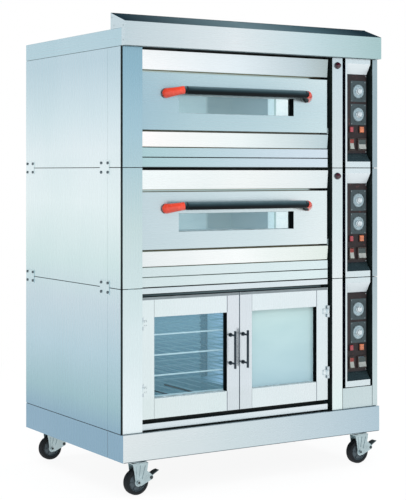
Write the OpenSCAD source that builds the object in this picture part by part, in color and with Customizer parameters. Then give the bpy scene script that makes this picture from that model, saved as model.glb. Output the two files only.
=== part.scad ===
// Two-deck electric baking oven on a proofer cabinet with casters.
// Helper coordinates inside in_cabinet(): s runs right from the left side, d runs back from the
// front plane, z runs up from the floor. The origin is under the middle of the whole outline.

/* [Cabinet] */
// Width of the cabinet
body_w = 1240; // [1200:10:1300]
// Depth of the cabinet
body_d = 860; // [840:10:900]
// Height of one baking deck module
deck_h = 462; // [460:1:480]
// Height of the proofer module
proofer_h = 550; // [550:5:600]
// Height of the base skirt
skirt_h = 106; // [90:1:120]
// Height of the top cap
cap_h = 68; // [50:1:80]
// Thickness of the sheet metal
sheet = 2; // [1.5:0.1:2.5]

/* [Front layout] */
// Width of the left front column
left_column_w = 91; // [80:1:100]
// Recess of the doors behind the front plane
door_recess = 15; // [12:1:18]
// Width of the lamp strip beside the doors
lamp_strip_w = 53; // [45:1:55]
// Width of the control fascia
fascia_w = 133; // [130:1:135]
// Width of the strip at the right corner
right_strip_w = 26; // [20:1:30]
// Height of each control fascia
fascia_h = 460; // [455:1:460]
// Depth of the recess that holds the controls
control_recess = 26; // [24:1:30]

/* [Deck doors] */
// Height of a deck door
deck_door_h = 221; // [215:1:222]
// Thickness of a deck door
deck_door_t = 40; // [36:1:40]
// Width of the door window
window_w = 550; // [400:10:600]
// Height of the door window
window_h = 72; // [50:1:90]
// Diameter of the handle bar
handle_dia = 31; // [25:1:31]
// Length of the handle bar between its end brackets
handle_len = 560; // [500:2:570]
// Distance from the front plane to the handle axis
handle_out = 47; // [40:1:50]
// Radius of the deck door hinge pins
deck_pin_r = 5; // [4:0.5:5]

/* [Proofer doors] */
// Height of a proofer door
proofer_door_h = 469; // [440:1:470]
// Thickness of a proofer door
proofer_door_t = 30; // [26:1:32]
// Width of the door stiles
stile_w = 58; // [50:1:70]
// Height of the door rails
rail_h = 78; // [60:1:90]
// Number of wire shelves
shelf_count = 4; // [2:1:4]
// Spacing of the wire shelves
shelf_step = 80; // [70:1:90]

/* [Casters] */
// Height from the floor to the base frame
caster_h = 140; // [135:1:150]
// Radius of a wheel
wheel_r = 50; // [45:1:50]
// Width of a wheel
wheel_w = 32; // [28:1:32]
// Offset of the wheel behind the swivel axis
caster_trail = 10; // [5:1:15]
// Swivel axis distance from the left side
caster_left = 100; // [60:1:120]
// Swivel axis distance from the right side
caster_right = 60; // [60:1:120]
// Swivel axis distance from the front plane and from the back
caster_depth = 50; // [45:1:80]

/* [Hood] */
// Overhang of the hood in front of the front plane
hood_out = 27; // [20:1:35]
// Height of the upright front of the hood
hood_front_h = 92; // [85:1:100]
// Height of the hood ridge above the cabinet top
hood_ridge_h = 132; // [125:1:150]
// Distance from the front plane back to the ridge
hood_back = 88; // [70:1:110]

/* [Hidden] */
$fn = 48;

handle_r = handle_dia / 2;
front_reach = handle_out + handle_r;
rear_reach = 22.5;
front_y = front_reach - (body_d + front_reach + rear_reach) / 2;
bolt_reach = 5;        // joining plate and bolt head outside the side panel
pedal_x = 47;          // pedal pivot from the swivel axis
tongue_l = 46;
tongue_slope = 30;
pedal_reach = pedal_x + tongue_l * cos(tongue_slope) - sin(tongue_slope);
right_reach = max(bolt_reach, pedal_reach - caster_right);
left_x = bolt_reach - (body_w + bolt_reach + right_reach) / 2;
gap = 1.3;             // half of the joint between two modules
lid_t = 3;             // service lid on the top cap
corner_s = 6;          // start of the left column beside the corner groove
corner_d = 9;          // start of the side panels behind the corner groove
right_panel_d = 3;     // start of the right side panels
side_seam_d = 112;     // seam between the corner strip and the main side panel
skirt_out = 13;        // overhang of the skirt in front of the front plane

// Heights of the module joints
z_base = caster_h + skirt_h;
z_lower = z_base + proofer_h;
z_upper = z_lower + deck_h;
z_top = z_upper + deck_h;
module_bottoms = [z_base, z_lower, z_upper];
module_tops = [z_lower, z_upper, z_top];
deck_bottoms = [z_lower, z_upper];

// Front layout, counted from the left side
right_strip_s = body_w - right_strip_w;
fascia_s = right_strip_s - 12 - fascia_w;
lamp_strip_s = fascia_s - 16 - lamp_strip_w;
channel_s = lamp_strip_s - 14;
return_d = 60;         // depth of the folds beside the dark channels
backing_d = 100;       // back of the dark channels

// Deck door, counted from its module's bottom
door_s0 = left_column_w + 2;
door_s1 = channel_s - 3;
door_z0 = 146;
door_z1 = door_z0 + deck_door_h;
door_pin_z = door_z0 + 7;
door_pin_d = door_recess + 7;
window_s0 = door_s0 + 169;
window_s1 = window_s0 + window_w;
window_z0 = 212;
window_z1 = window_z0 + window_h;
glass_d = door_recess + 30;
handle_s0 = door_s0 + 168;
handle_s1 = handle_s0 + handle_len;
handle_zs = [314, 299]; // height of the bar on the lower and on the upper door
foot_drop = 11;        // foot of a handle bracket below the bar
foot_out = 57;         // foot of a handle bracket beyond the end of the bar
foot_r = 20;
mouth_d = 57;          // face of the chamber mouth behind the door
pin_reach = 18;        // length of a hinge pin inside the door

// Baking chamber, counted from its module's bottom
chamber_s0 = 110;
chamber_s1 = channel_s - 16;
chamber_d1 = 730;
chamber_z0 = 150;
chamber_z1 = 360;

// Proofer doors
proofer_z0 = z_base + 45;
proofer_z1 = proofer_z0 + proofer_door_h;
left_door_s = [left_column_w + 3, 543.5];
right_door_s = [547.5, channel_s + 1];
leaf_pin_d = 9;
leaf_pin_in = 3;       // pin distance inside the door's outer edge
leaf_h = 48;
leaf_zs = [proofer_z0 + 114, proofer_z0 + 369];
proofer_glass_d = door_recess + 22;
proofer_plate_d = 49;
proofer_handle_d = door_recess - 35;
proofer_handle_zs = [z_base + 215, z_base + 364];
proofer_post_zs = [z_base + 234, z_base + 346];
proofer_handle_ss = [left_door_s[1] - 41.5, right_door_s[0] + 14.5];
liner_d1 = 800;
shelf_z0 = z_base + 118;

// Controls, counted down from a module's top
dial_drops = [137, 235];
dial_s = fascia_s + 86;
indicator_drop = 299;
switch_drop = 362;
left_item_s = fascia_s + 47;
right_item_s = fascia_s + 102;
plate_t = 2.5;
plate_d = control_recess - plate_t;
frame_t = 6.5;
rocker_tilt = 8;
rocker_d = plate_d - 4.5;
lamp_rocker = [26, 52];
power_rocker = [44, 51];
frame_wall = 3;

// Cable gland and steam outlets
gland_s = body_w - 150;
gland_z = z_base + 120;
gland_r = 18;
gland_stem_r = 14;
gland_bore_r = 9;
steam_s = body_w / 2 - 80;
steam_r = 30;

// Casters
kingpin_r = 6;
axle_r = 5;
fit = 0.05;            // radial running clearance
leg_in = wheel_w / 2 + 3;
leg_out = leg_in + 3;
crown_z1 = caster_h - 16.3;
crown_z0 = crown_z1 - 4;
pedal_z = 64;
pedal_pin_r = 4;
caster_ss = [caster_left, body_w - caster_right];
caster_ds = [caster_depth, body_d - caster_depth];

// ---------- helpers ----------
module in_cabinet() { translate([left_x, front_y, 0]) children(); }

// Block from (s0, d0, z0) to (s1, d1, z1)
module block(s0, s1, d0, d1, z0, z1) {
  translate([s0, d0, z0]) cube([s1 - s0, d1 - d0, z1 - z0]);
}

// Cylinder along d, from d0 to d1
module rod_d(s, z, r, d0, d1) {
  translate([s, d1, z]) rotate([90, 0, 0]) cylinder(r = r, h = d1 - d0);
}

// Cylinder along s, from s0 to s1
module rod_s(s0, s1, d, z, r) {
  translate([s0, d, z]) rotate([0, 90, 0]) cylinder(r = r, h = s1 - s0);
}

// Cylinder between two points
module rod_between(a, b, r) {
  v = b - a;
  across = norm([v[0], v[1]]);
  translate(a) rotate([0, atan2(across, v[2]), atan2(v[1], v[0])]) cylinder(r = r, h = norm(v));
}

// Shape drawn in the (d, z) plane and extruded along s
module profile_s(s0, s1) {
  translate([s0, 0, 0]) rotate([90, 0, 90]) linear_extrude(s1 - s0) children();
}

// Folded tray: a face with four returns, open at the back
module tray(s0, s1, d0, d1, z0, z1) {
  difference() {
    block(s0, s1, d0, d1, z0, z1);
    block(s0 + sheet, s1 - sheet, d0 + sheet, d1 + 1, z0 + sheet, z1 - sheet);
  }
}

// Folded channel whose face leans back by lean at its foot
module leaning_tray(s0, s1, d0, depth, lean, z0, z1) {
  d1 = d0 + depth;
  profile_s(s0, s1) polygon([[d0, z1], [d1, z1], [d1, z1 - sheet], [d0 + sheet, z1 - sheet],
    [d0 + lean + sheet, z0 + sheet], [d1, z0 + sheet], [d1, z0], [d0 + lean, z0]]);
}

// ---------- base ----------
module base_skirt() {
  color("lightsteelblue") in_cabinet() {
    difference() {
      block(0, body_w, -skirt_out, side_seam_d - 1, caster_h, z_base - 0.5);
      block(sheet, body_w - sheet, sheet - skirt_out, side_seam_d, caster_h - 1, z_base - sheet);
      block(-1, body_w + 1, 0, side_seam_d, z_base - sheet, z_base);
    }
    difference() {
      block(0, body_w, side_seam_d, body_d, caster_h, z_base - sheet);
      block(sheet, body_w - sheet, side_seam_d - 1, body_d - sheet, caster_h - 1, z_base);
    }
  }
}

// Box sections of the base, corner posts and the plates between the modules
module inner_frame() {
  beam = 40;
  inset = 20;
  plate = 3;
  post = 30;
  color("dimgray") in_cabinet() {
    difference() {
      block(inset, body_w - inset, inset, body_d - inset, caster_h, z_base - plate);
      block(inset + beam, body_w - inset - beam, inset + beam, body_d - inset - beam,
        caster_h - 1, z_base);
      block(inset + 3, body_w - inset - 3, inset + 3, body_d - inset - 3,
        caster_h + 3, z_base - plate - 3);
    }
    for (z = [z_base - plate, z_top - plate])
      block(3, body_w - 3, 18, body_d - 3, z, z + plate);
    for (z = [z_lower, z_upper])
      block(3, body_w - 3, 18, body_d - 3, z - plate / 2, z + plate / 2);
    for (m = [0 : 2]) {
      z0 = module_bottoms[m] + (m == 0 ? 0 : plate / 2);
      z1 = module_tops[m] - (m == 2 ? plate : plate / 2);
      block(3, 3 + post, 6, 6 + post, z0, z1);
      block(right_strip_s + sheet + 1, body_w - 3, 6, 6 + post, z0, z1);
      for (s = [3, body_w - 3 - post])
        block(s, s + post, body_d - 3 - post, body_d - 3, z0, z1);
      block(channel_s + 5, right_strip_s - 2, backing_d, backing_d + 2, z0, z1);
    }
  }
}

// Top plate, swivel race and kingpin of each caster
module caster_plates() {
  plate = 84;
  color("silver") in_cabinet() for (s = caster_ss) for (d = caster_ds) translate([s, d, 0]) {
    difference() {
      translate([-plate / 2, -plate / 2, caster_h - 5]) cube([plate, plate, 5]);
      for (x = [-1, 1]) for (y = [-1, 1])
        translate([x * 32, y * 32, caster_h - 6]) cylinder(r = 4.5, h = 7);
    }
    translate([0, 0, crown_z1 + 0.3]) cylinder(r = 26, h = caster_h - 5 - crown_z1 - 0.3);
    translate([0, 0, crown_z0 - 7]) cylinder(r = kingpin_r, h = caster_h - crown_z0);
    translate([0, 0, crown_z0 - 7]) cylinder(r = 10, h = 6.7);
  }
}

// ---------- outer panels ----------
module side_panels() {
  color("lightsteelblue") in_cabinet() for (m = [0 : 2]) {
    z0 = module_bottoms[m] + (m == 0 ? 0.5 : gap);
    z1 = module_tops[m] - gap;
    block(0, sheet, corner_d, side_seam_d, z0, z1);
    block(0, sheet, side_seam_d + 1.2, body_d, z0, z1);
    block(body_w - sheet, body_w, right_panel_d, side_seam_d, z0, z1);
    block(body_w - sheet, body_w, side_seam_d + 1.2, body_d, z0, z1);
  }
}

module back_panels() {
  color("lightsteelblue") in_cabinet() for (m = [0 : 2]) difference() {
    block(sheet + 0.5, body_w - sheet - 0.5, body_d - sheet, body_d,
      module_bottoms[m] + 0.5, module_tops[m] - gap);
    if (m == 0)
      rod_d(gland_s, gland_z, gland_stem_r + 0.3, body_d - 5, body_d + 1);
    if (m > 0)
      rod_d(steam_s, module_tops[m] - 90, steam_r + 0.3, body_d - 5, body_d + 1);
  }
}

module front_columns() {
  color("lightsteelblue") in_cabinet() for (m = [0 : 2]) {
    z0 = module_bottoms[m] + (m == 0 ? 0.5 : gap);
    z1 = module_tops[m] - gap;
    fold_z0 = z0 + 2;
    fold_z1 = z1 - 2;
    block(corner_s, left_column_w, 0, sheet, z0, z1);
    block(left_column_w - sheet, left_column_w, sheet, door_recess + 1, z0, z1);
    block(right_strip_s, body_w, 0, sheet, z0, z1);
    block(right_strip_s, right_strip_s + sheet, sheet, return_d, fold_z0, fold_z1);
    block(lamp_strip_s, lamp_strip_s + lamp_strip_w, 0, sheet, z0, z1);
    block(lamp_strip_s, lamp_strip_s + sheet, sheet, return_d, fold_z0, fold_z1);
    block(lamp_strip_s + lamp_strip_w - sheet, lamp_strip_s + lamp_strip_w, sheet, return_d,
      fold_z0, fold_z1);
    if (m == 0)
      block(fascia_s - 14, right_strip_s - 2, 0, sheet, z0, z_lower - fascia_h - 3);
  }
}

// ---------- controls ----------
module control_fascias() {
  lip = 9;
  r = control_recess;
  color("gainsboro") in_cabinet() for (top = module_tops) difference() {
    union() {
      profile_s(fascia_s + lip - sheet, fascia_s + fascia_w)
        polygon([[0, top - gap], [0, top - 22], [r, top - 65], [r, top - 401],
          [0, top - 435], [0, top - fascia_h], [sheet, top - fascia_h], [sheet, top - 434],
          [r + sheet, top - 400], [r + sheet, top - 66], [sheet, top - 23],
          [sheet, top - gap]]);
      block(fascia_s, fascia_s + lip, 0, sheet, top - fascia_h, top - gap);
      block(fascia_s + lip - sheet, fascia_s + lip, 0, r + sheet, top - 434, top - 23);
    }
    for (drop = dial_drops) rod_d(dial_s, top - drop, 6, r - 1, r + 3);
    switch_hole(left_item_s, top - switch_drop, lamp_rocker);
    switch_hole(right_item_s, top - switch_drop, power_rocker);
  }
}

// Opening behind a rocker switch
module switch_hole(s, z, size) {
  w = size[0] / 2 - frame_wall;
  h = size[1] / 2 - frame_wall;
  block(s - w, s + w, plate_d - 10, control_recess + 5, z - h, z + h);
}

module control_plates() {
  color("#2a1618") in_cabinet() for (top = module_tops) difference() {
    block(fascia_s + 11, fascia_s + fascia_w - 2, plate_d, control_recess,
      top - 399, top - 67);
    for (drop = dial_drops) rod_d(dial_s, top - drop, 6, plate_d - 1, control_recess + 1);
    switch_hole(left_item_s, top - switch_drop, lamp_rocker);
    switch_hole(right_item_s, top - switch_drop, power_rocker);
  }
}

// Square plates with a raised scale ring behind each knob
module dial_plates() {
  w = 83;
  h = 93;
  color("gray") in_cabinet() for (top = module_tops) for (drop = dial_drops) difference() {
    union() {
      block(dial_s - w / 2, dial_s + w / 2, plate_d - 1.5, plate_d,
        top - drop - h / 2 + 2, top - drop + h / 2 - 2);
      rod_d(dial_s, top - drop, 29, plate_d - 3, plate_d - 1);
    }
    rod_d(dial_s, top - drop, 5.5, plate_d - 5, plate_d + 1);
  }
}

// Pilot lamps on the lamp strips, red and amber indicators on the control plates
module indicator_lenses() {
  color("crimson") in_cabinet() {
    for (m = [1, 2]) {
      s = lamp_strip_s + lamp_strip_w / 2;
      z = module_tops[m] - 34;
      rod_d(s, z, 12, -6, 0);
      intersection() {
        translate([s, -6, z]) sphere(r = 12);
        block(s - 13, s + 13, -20, -6, z - 13, z + 13);
      }
    }
    for (top = module_tops)
      block(left_item_s - 11, left_item_s + 11, plate_d - 8, plate_d,
        top - indicator_drop - 14, top - indicator_drop + 14);
  }
  color("orange") in_cabinet() for (top = module_tops)
    block(right_item_s - 13, right_item_s + 13, plate_d - 8, plate_d,
      top - indicator_drop - 15.5, top - indicator_drop + 15.5);
}

module switch_frame(s, z, size) {
  w = size[0] / 2;
  h = size[1] / 2;
  difference() {
    block(s - w, s + w, plate_d - frame_t, plate_d, z - h, z + h);
    switch_hole(s, z, size);
    rod_s(s - w + 1, s + w - 1, rocker_d, z, 1.5 + fit);
  }
}

module switch_frames() {
  color("beige") in_cabinet() for (top = module_tops) {
    switch_frame(left_item_s, top - switch_drop, lamp_rocker);
    switch_frame(right_item_s, top - switch_drop, power_rocker);
  }
}

// Rocker on a cross pin, tilted to its off position
module rocker(s, z, size) {
  w = size[0] / 2 - frame_wall - 0.4;
  h = size[1] / 2 - frame_wall - 2.2;
  in_cabinet() {
    rod_s(s - w - 2.2, s + w + 2.2, rocker_d, z, 1.5);
    translate([0, rocker_d, z]) rotate([-rocker_tilt, 0, 0])
      translate([s - w, -6, -h]) cube([2 * w, 10, 2 * h]);
  }
}

module knob(top, drop) {
  z = top - drop;
  in_cabinet() {
    rod_d(dial_s, z, 14, plate_d - 14, plate_d - 3.4);
    rod_d(dial_s, z, 3, plate_d - 4, 55);
    block(dial_s - 3, dial_s + 3, plate_d - 17, plate_d - 14, z - 13, z + 13);
  }
}

// Thermostat bodies behind the knobs and a contactor behind each fascia
module control_gear() {
  color("dimgray") in_cabinet() for (top = module_tops) {
    for (drop = dial_drops) difference() {
      union() {
        block(dial_s - 22, dial_s + 22, 38, 78, top - drop - 24, top - drop + 24);
        rod_d(dial_s, top - drop, 5, plate_d - 3, 38);
      }
      rod_d(dial_s, top - drop, 3 + fit, plate_d - 4, 56);
    }
    block(dial_s - 40, dial_s + 40, backing_d + 2, backing_d + 82, top - 300, top - 200);
  }
}

// ---------- baking decks ----------
module deck_front_panels() {
  color("gainsboro") in_cabinet() for (z = deck_bottoms) {
    s1 = channel_s;
    tray(door_s0, s1, door_recess, 40, z + 3, z + 38);
    tray(door_s0, s1, door_recess, 40, z + 42, z + 77);
    leaning_tray(door_s0, s1, door_recess - 3, 28, 6, z + 81, z + 138);
    leaning_tray(door_s0, s1, door_recess - 3, 28, 6, z + 378, z + 452);
    hinge_bracket(left_column_w - 7, left_column_w - 1, left_column_w - 7,
      door_s0 + pin_reach, z);
    hinge_bracket(door_s1 + 2, door_s1 + 8, door_s1 - pin_reach, door_s1 + 8, z);
  }
}

// Bracket at the mouth of a chamber with the fixed pin of the deck door
module hinge_bracket(s0, s1, pin_s0, pin_s1, z) {
  block(s0, s1, door_recess + 2, mouth_d, z + 141, z + 166);
  rod_s(pin_s0, pin_s1, door_pin_d, z + door_pin_z, deck_pin_r);
}

// Liner of each baking chamber with the flange around its mouth
module baking_chambers() {
  color("darkgray") in_cabinet() for (z = deck_bottoms) difference() {
    union() {
      block(chamber_s0 - sheet, chamber_s1 + sheet, mouth_d + 2, chamber_d1 + sheet,
        z + chamber_z0 - sheet, z + chamber_z1 + sheet);
      block(left_column_w - 9, door_s1 + 10, mouth_d, mouth_d + 3, z + 139, z + 376);
    }
    block(chamber_s0, chamber_s1, mouth_d - 1, chamber_d1, z + chamber_z0, z + chamber_z1);
  }
}

module hearth_plates() {
  color("dimgray") in_cabinet() for (z = deck_bottoms) {
    block(chamber_s0 + 2, chamber_s1 - 2, 70, chamber_d1, z + 174, z + 186);
    for (s = [chamber_s0 + 2, chamber_s1 - 12])
      block(s, s + 10, 70, chamber_d1, z + chamber_z0, z + 174);
  }
}

// Tubular heaters: hairpins over and under the hearth of each deck, one in the water pan
module hairpin(s, z, width, d0, d1) {
  r = 4;
  rod_d(s - width / 2, z, r, d0, d1);
  rod_d(s + width / 2, z, r, d0, d1);
  rod_s(s - width / 2, s + width / 2, d0, z, r);
  for (x = [-1, 1]) translate([s + x * width / 2, d0, z]) sphere(r = r);
}

module heating_elements() {
  pins = 4;
  step = (chamber_s1 - chamber_s0) / pins;
  color("#5a4a44") in_cabinet() {
    for (z = deck_bottoms) for (i = [0 : pins - 1]) {
      hairpin(chamber_s0 + (i + 0.5) * step, z + 162, step * 0.5, 110, chamber_d1);
      hairpin(chamber_s0 + (i + 0.5) * step, z + 347, step * 0.5, 110, chamber_d1);
    }
    hairpin(body_w / 2 - 80, z_base + 48, 120, 320, liner_d1);
  }
}

module insulation() {
  color("khaki") in_cabinet() for (z = deck_bottoms) difference() {
    block(left_column_w - 20, channel_s - 2, mouth_d + 3.5, chamber_d1 + 60, z + 60, z + 440);
    block(chamber_s0 - 2.5, chamber_s1 + 2.5, mouth_d + 1, chamber_d1 + 2.5,
      z + chamber_z0 - 2.5, z + chamber_z1 + 2.5);
  }
}

// Hollow deck door with a window tunnel and hinge blocks in its lower corners
module door_shell(z) {
  d0 = door_recess;
  d1 = d0 + deck_door_t;
  block_w = pin_reach + 4;
  in_cabinet() difference() {
    union() {
      difference() {
        block(door_s0, door_s1, d0, d1, z + door_z0, z + door_z1);
        block(door_s0 + sheet, door_s1 - sheet, d0 + sheet, d1 - sheet,
          z + door_z0 + sheet, z + door_z1 - sheet);
      }
      block(window_s0 - sheet, window_s1 + sheet, d0 + 1, d1 - 1, z + window_z0 - sheet,
        z + window_z1 + sheet);
      for (s = [door_s0 + 1, door_s1 - 1 - block_w])
        block(s, s + block_w, d0 + 1, d0 + 15, z + door_z0 + 1, z + door_z0 + 15);
    }
    block(window_s0, window_s1, d0 - 1, d1 + 1, z + window_z0, z + window_z1);
    rod_s(door_s0 - 1, door_s0 + pin_reach + 2, door_pin_d, z + door_pin_z, deck_pin_r + fit);
    rod_s(door_s1 - pin_reach - 2, door_s1 + 1, door_pin_d, z + door_pin_z, deck_pin_r + fit);
    for (s = [door_s0 + 200, door_s1 - 200])
      translate([s, d0 + 20, z + door_z0 - 1]) cylinder(r = 4, h = 5);
  }
}

module door_glass(z) {
  color("lightblue", 0.5) in_cabinet()
    block(window_s0, window_s1, glass_d, glass_d + 4, z + window_z0, z + window_z1);
}

function bar_z(z) = z + handle_zs[z > z_lower ? 1 : 0];

module handle_bar(z) {
  color("#101c20") in_cabinet() rod_s(handle_s0, handle_s1, -handle_out, bar_z(z), handle_r);
}

// Red bracket from one end of the handle bar to the round foot on the face of the door
module handle_end(s, side, z) {
  r = handle_r - 0.5;
  a = [s + side * r, -handle_out, bar_z(z)];
  b = [s + side * foot_out, 0, bar_z(z) - foot_drop];
  translate([s, -handle_out, bar_z(z)]) rotate([0, side * 90, 0]) cylinder(r = r, h = r);
  translate(a) sphere(r = r);
  rod_between(a, b, r);
  rod_d(b[0], b[2], foot_r, -4, door_recess);
}

module handle_ends(z) {
  color("#e64632") in_cabinet() {
    handle_end(handle_s0, -1, z);
    handle_end(handle_s1, 1, z);
  }
}

// ---------- proofer ----------
module proofer_liner() {
  z1 = z_lower - 26;
  s0 = 50;
  s1 = channel_s;
  color("lightsteelblue") in_cabinet() {
    difference() {
      block(s0, s1, proofer_plate_d + 2, liner_d1 + sheet, z_base + 18, z1);
      block(s0 + sheet, s1 - sheet, proofer_plate_d, liner_d1, z_base + 18 + sheet, z1 - sheet);
    }
    difference() {
      block(body_w / 2 - 260, body_w / 2 + 100, 300, 700, z_base + 20, z_base + 75);
      block(body_w / 2 - 258, body_w / 2 + 98, 302, 698, z_base + 22, z_base + 76);
      for (s = [body_w / 2 - 140, body_w / 2 - 20])
        rod_d(s, z_base + 48, 4.5, 690, 710);
    }
  }
}

module proofer_front_frame() {
  color("gainsboro") in_cabinet() {
    tray(door_s0, channel_s, door_recess, 40, z_lower - 23, z_lower - 2);
    tray(door_s0, channel_s, door_recess, 40, z_base + 5, z_base + 28);
    difference() {
      block(left_column_w - 9, channel_s + 8, proofer_plate_d, proofer_plate_d + 2,
        z_base + 5, z_lower - 2);
      block(112, channel_s - 18, proofer_plate_d - 1, proofer_plate_d + 3,
        proofer_z0 - 6, proofer_z1 + 5);
    }
    for (z = leaf_zs) {
      fixed_leaf(left_door_s[0], 1, z);
      fixed_leaf(right_door_s[1], -1, z);
    }
  }
}

// Fixed hinge leaf with its pin and two outer knuckles; side is +1 on the left door
module fixed_leaf(edge, side, z) {
  s = edge + side * leaf_pin_in;
  plate_s = edge - side * 1.7;
  block(min(plate_s, plate_s - side), max(plate_s, plate_s - side), leaf_pin_d - 3,
    proofer_plate_d, z - leaf_h / 2, z + leaf_h / 2);
  for (end = [-leaf_h / 2, leaf_h / 2 - 12]) {
    translate([s, leaf_pin_d, z + end]) cylinder(r = 4.5, h = 12);
    block(min(plate_s, s), max(plate_s, s), leaf_pin_d - 3, leaf_pin_d + 3, z + end, z + end + 12);
  }
  translate([s, leaf_pin_d, z - leaf_h / 2]) cylinder(r = 2.5, h = leaf_h);
}

// Wire shelves on angled runners
module proofer_shelves() {
  s0 = 54;
  s1 = channel_s - 4;
  d0 = 90;
  d1 = 780;
  wires = 15;
  color("silver") in_cabinet() for (i = [0 : shelf_count - 1]) {
    z = shelf_z0 + i * shelf_step;
    for (d = [d0, (d0 + d1) / 2, d1]) rod_s(s0 + 2, s1 - 2, d, z, 3);
    for (k = [0 : wires - 1])
      rod_d(s0 + 20 + k * (s1 - s0 - 40) / (wires - 1), z + 3.5, 1.5, d0 - 3, d1 + 3);
    for (edge = [[s0 - 2, s0], [s1, s1 + 2]])
      block(edge[0], edge[1], d0 - 10, d1 + 10, z - 15, z + 6);
    for (edge = [[s0 - 1, s0 + 14], [s1 - 14, s1 + 1]])
      block(edge[0], edge[1], d0 - 10, d1 + 10, z - 5, z - 3);
  }
}

// Proofer door: hollow folded frame around a window tunnel, with two hinge knuckles
module proofer_door(span, edge, side) {
  d0 = door_recess;
  d1 = d0 + proofer_door_t;
  w0 = span[0] + stile_w;
  w1 = span[1] - stile_w;
  in_cabinet() difference() {
    union() {
      difference() {
        block(span[0], span[1], d0, d1, proofer_z0, proofer_z1);
        block(span[0] + sheet, span[1] - sheet, d0 + sheet, d1 + 1,
          proofer_z0 + sheet, proofer_z1 - sheet);
      }
      block(w0 - sheet, w1 + sheet, d0 + 1, d1, proofer_z0 + rail_h - sheet,
        proofer_z1 - rail_h + sheet);
      for (z = leaf_zs) moving_leaf(edge, side, z);
    }
    block(w0, w1, d0 - 1, d1 + 1, proofer_z0 + rail_h, proofer_z1 - rail_h);
    for (z = leaf_zs)
      translate([edge + side * leaf_pin_in, leaf_pin_d, z - leaf_h]) cylinder(r = 2.5 + fit,
        h = 2 * leaf_h);
  }
}

// Middle knuckle and leaf plate on the face of a proofer door
module moving_leaf(edge, side, z) {
  s = edge + side * leaf_pin_in;
  far = s + side * 22;
  h = leaf_h - 24 - 1;
  translate([s, leaf_pin_d, z - h / 2]) cylinder(r = 4.5, h = h);
  block(min(s, far), max(s, far), leaf_pin_d + 2.8, door_recess, z - h / 2, z + h / 2);
}

module proofer_glass(span) {
  color("lightcyan", 0.5) in_cabinet()
    block(span[0] + stile_w, span[1] - stile_w, proofer_glass_d, proofer_glass_d + 4,
      proofer_z0 + rail_h, proofer_z1 - rail_h);
}

module proofer_handle(s) {
  color("gray") in_cabinet() {
    translate([s, proofer_handle_d, proofer_handle_zs[0]])
      cylinder(r = 5, h = proofer_handle_zs[1] - proofer_handle_zs[0]);
    for (z = proofer_post_zs) {
      rod_d(s, z, 4, proofer_handle_d, door_recess);
      rod_d(s, z, 8, door_recess - 3, door_recess);
    }
  }
}

// ---------- joints between modules, top and back ----------
module joining_plates() {
  w = 75;
  h = 55;
  t = 2;
  color("silver") in_cabinet() for (z = deck_bottoms) for (d = [134, body_d - 46]) {
    block(-t, 0, d - w / 2, d + w / 2, z - h / 2, z + h / 2);
    block(body_w, body_w + t, d - w / 2, d + w / 2, z - h / 2, z + h / 2);
    for (y = [-27, 27]) for (x = [-18, 18]) {
      rod_s(-t - 3, -t, d + y, z + x, 5.5);
      rod_s(body_w + t, body_w + t + 3, d + y, z + x, 5.5);
    }
  }
}

// Folded cap with a raised service lid behind the hood
module top_cap() {
  color("lightsteelblue") in_cabinet() {
    difference() {
      block(0, body_w, 0, body_d, z_top, z_top + cap_h);
      block(sheet, body_w - sheet, sheet, body_d - sheet, z_top - 1, z_top + cap_h - sheet);
    }
    block(40, body_w - 40, hood_back + 30, body_d - 40, z_top + cap_h, z_top + cap_h + lid_t);
  }
}

// Smoke hood along the front of the cap: sloped top, closed ends, open underneath
module hood() {
  zc = z_top + cap_h;
  color("lightslategray") in_cabinet() {
    profile_s(0, body_w) difference() {
      hood_outline(0);
      hood_outline(sheet);
    }
    for (s = [0, body_w - sheet]) profile_s(s, s + sheet) {
      hood_outline(0);
    }
    block(0, body_w, hood_back - 14, hood_back, zc, zc + sheet);
  }
}

// Outline of the hood's end, drawn inwards by inset, with an open foot
module hood_outline(inset) {
  i = inset;
  open = inset > 0 ? 1 : 0;
  zc = z_top + cap_h;
  polygon([[-hood_out + i, z_top - open], [-hood_out + i, z_top + hood_front_h - i],
    [hood_back - i, z_top + hood_ridge_h - 1.3 * i], [hood_back - i, zc - open],
    [0, zc - open], [0, z_top - open]]);
}

// Cable gland and the steam outlets of the two decks
module rear_fittings() {
  color("darkgray") in_cabinet() {
    difference() {
      union() {
        rod_d(gland_s, gland_z, gland_r, body_d, body_d + rear_reach);
        rod_d(gland_s, gland_z, gland_stem_r, body_d - 14, body_d);
        rod_d(gland_s, gland_z, gland_r, body_d - 12, body_d - sheet);
      }
      rod_d(gland_s, gland_z, gland_bore_r, body_d - 20, body_d + rear_reach + 1);
    }
    for (m = [1, 2]) difference() {
      union() {
        rod_d(steam_s, module_tops[m] - 90, steam_r, body_d - 40, body_d + rear_reach);
        rod_d(steam_s, module_tops[m] - 90, steam_r + 10, body_d, body_d + 3);
      }
      rod_d(steam_s, module_tops[m] - 90, steam_r - 2, body_d - 41, body_d + rear_reach + 1);
    }
  }
}

// ---------- casters ----------
module at_caster(s, d) { in_cabinet() translate([s, d, 0]) children(); }

// Cylinder along y centred on the caster's middle plane
module cross_pin(x, z, r, half) {
  translate([x, half, z]) rotate([90, 0, 0]) cylinder(r = r, h = 2 * half);
}

// Side plate of the fork in the (x, z) plane
module fork_leg() {
  difference() {
    union() {
      polygon([[-33, crown_z1], [33, crown_z1], [28, 92], [pedal_x + 8, pedal_z + 6],
        [pedal_x + 4, pedal_z - 7], [-caster_trail + 12, 36], [-caster_trail - 12, 42],
        [-caster_trail - 14, 60]]);
      translate([-caster_trail, wheel_r]) circle(r = 15);
      translate([pedal_x, pedal_z]) circle(r = 8);
    }
    translate([-caster_trail, wheel_r]) circle(r = axle_r + fit);
    translate([pedal_x, pedal_z]) circle(r = pedal_pin_r + fit);
  }
}

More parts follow.
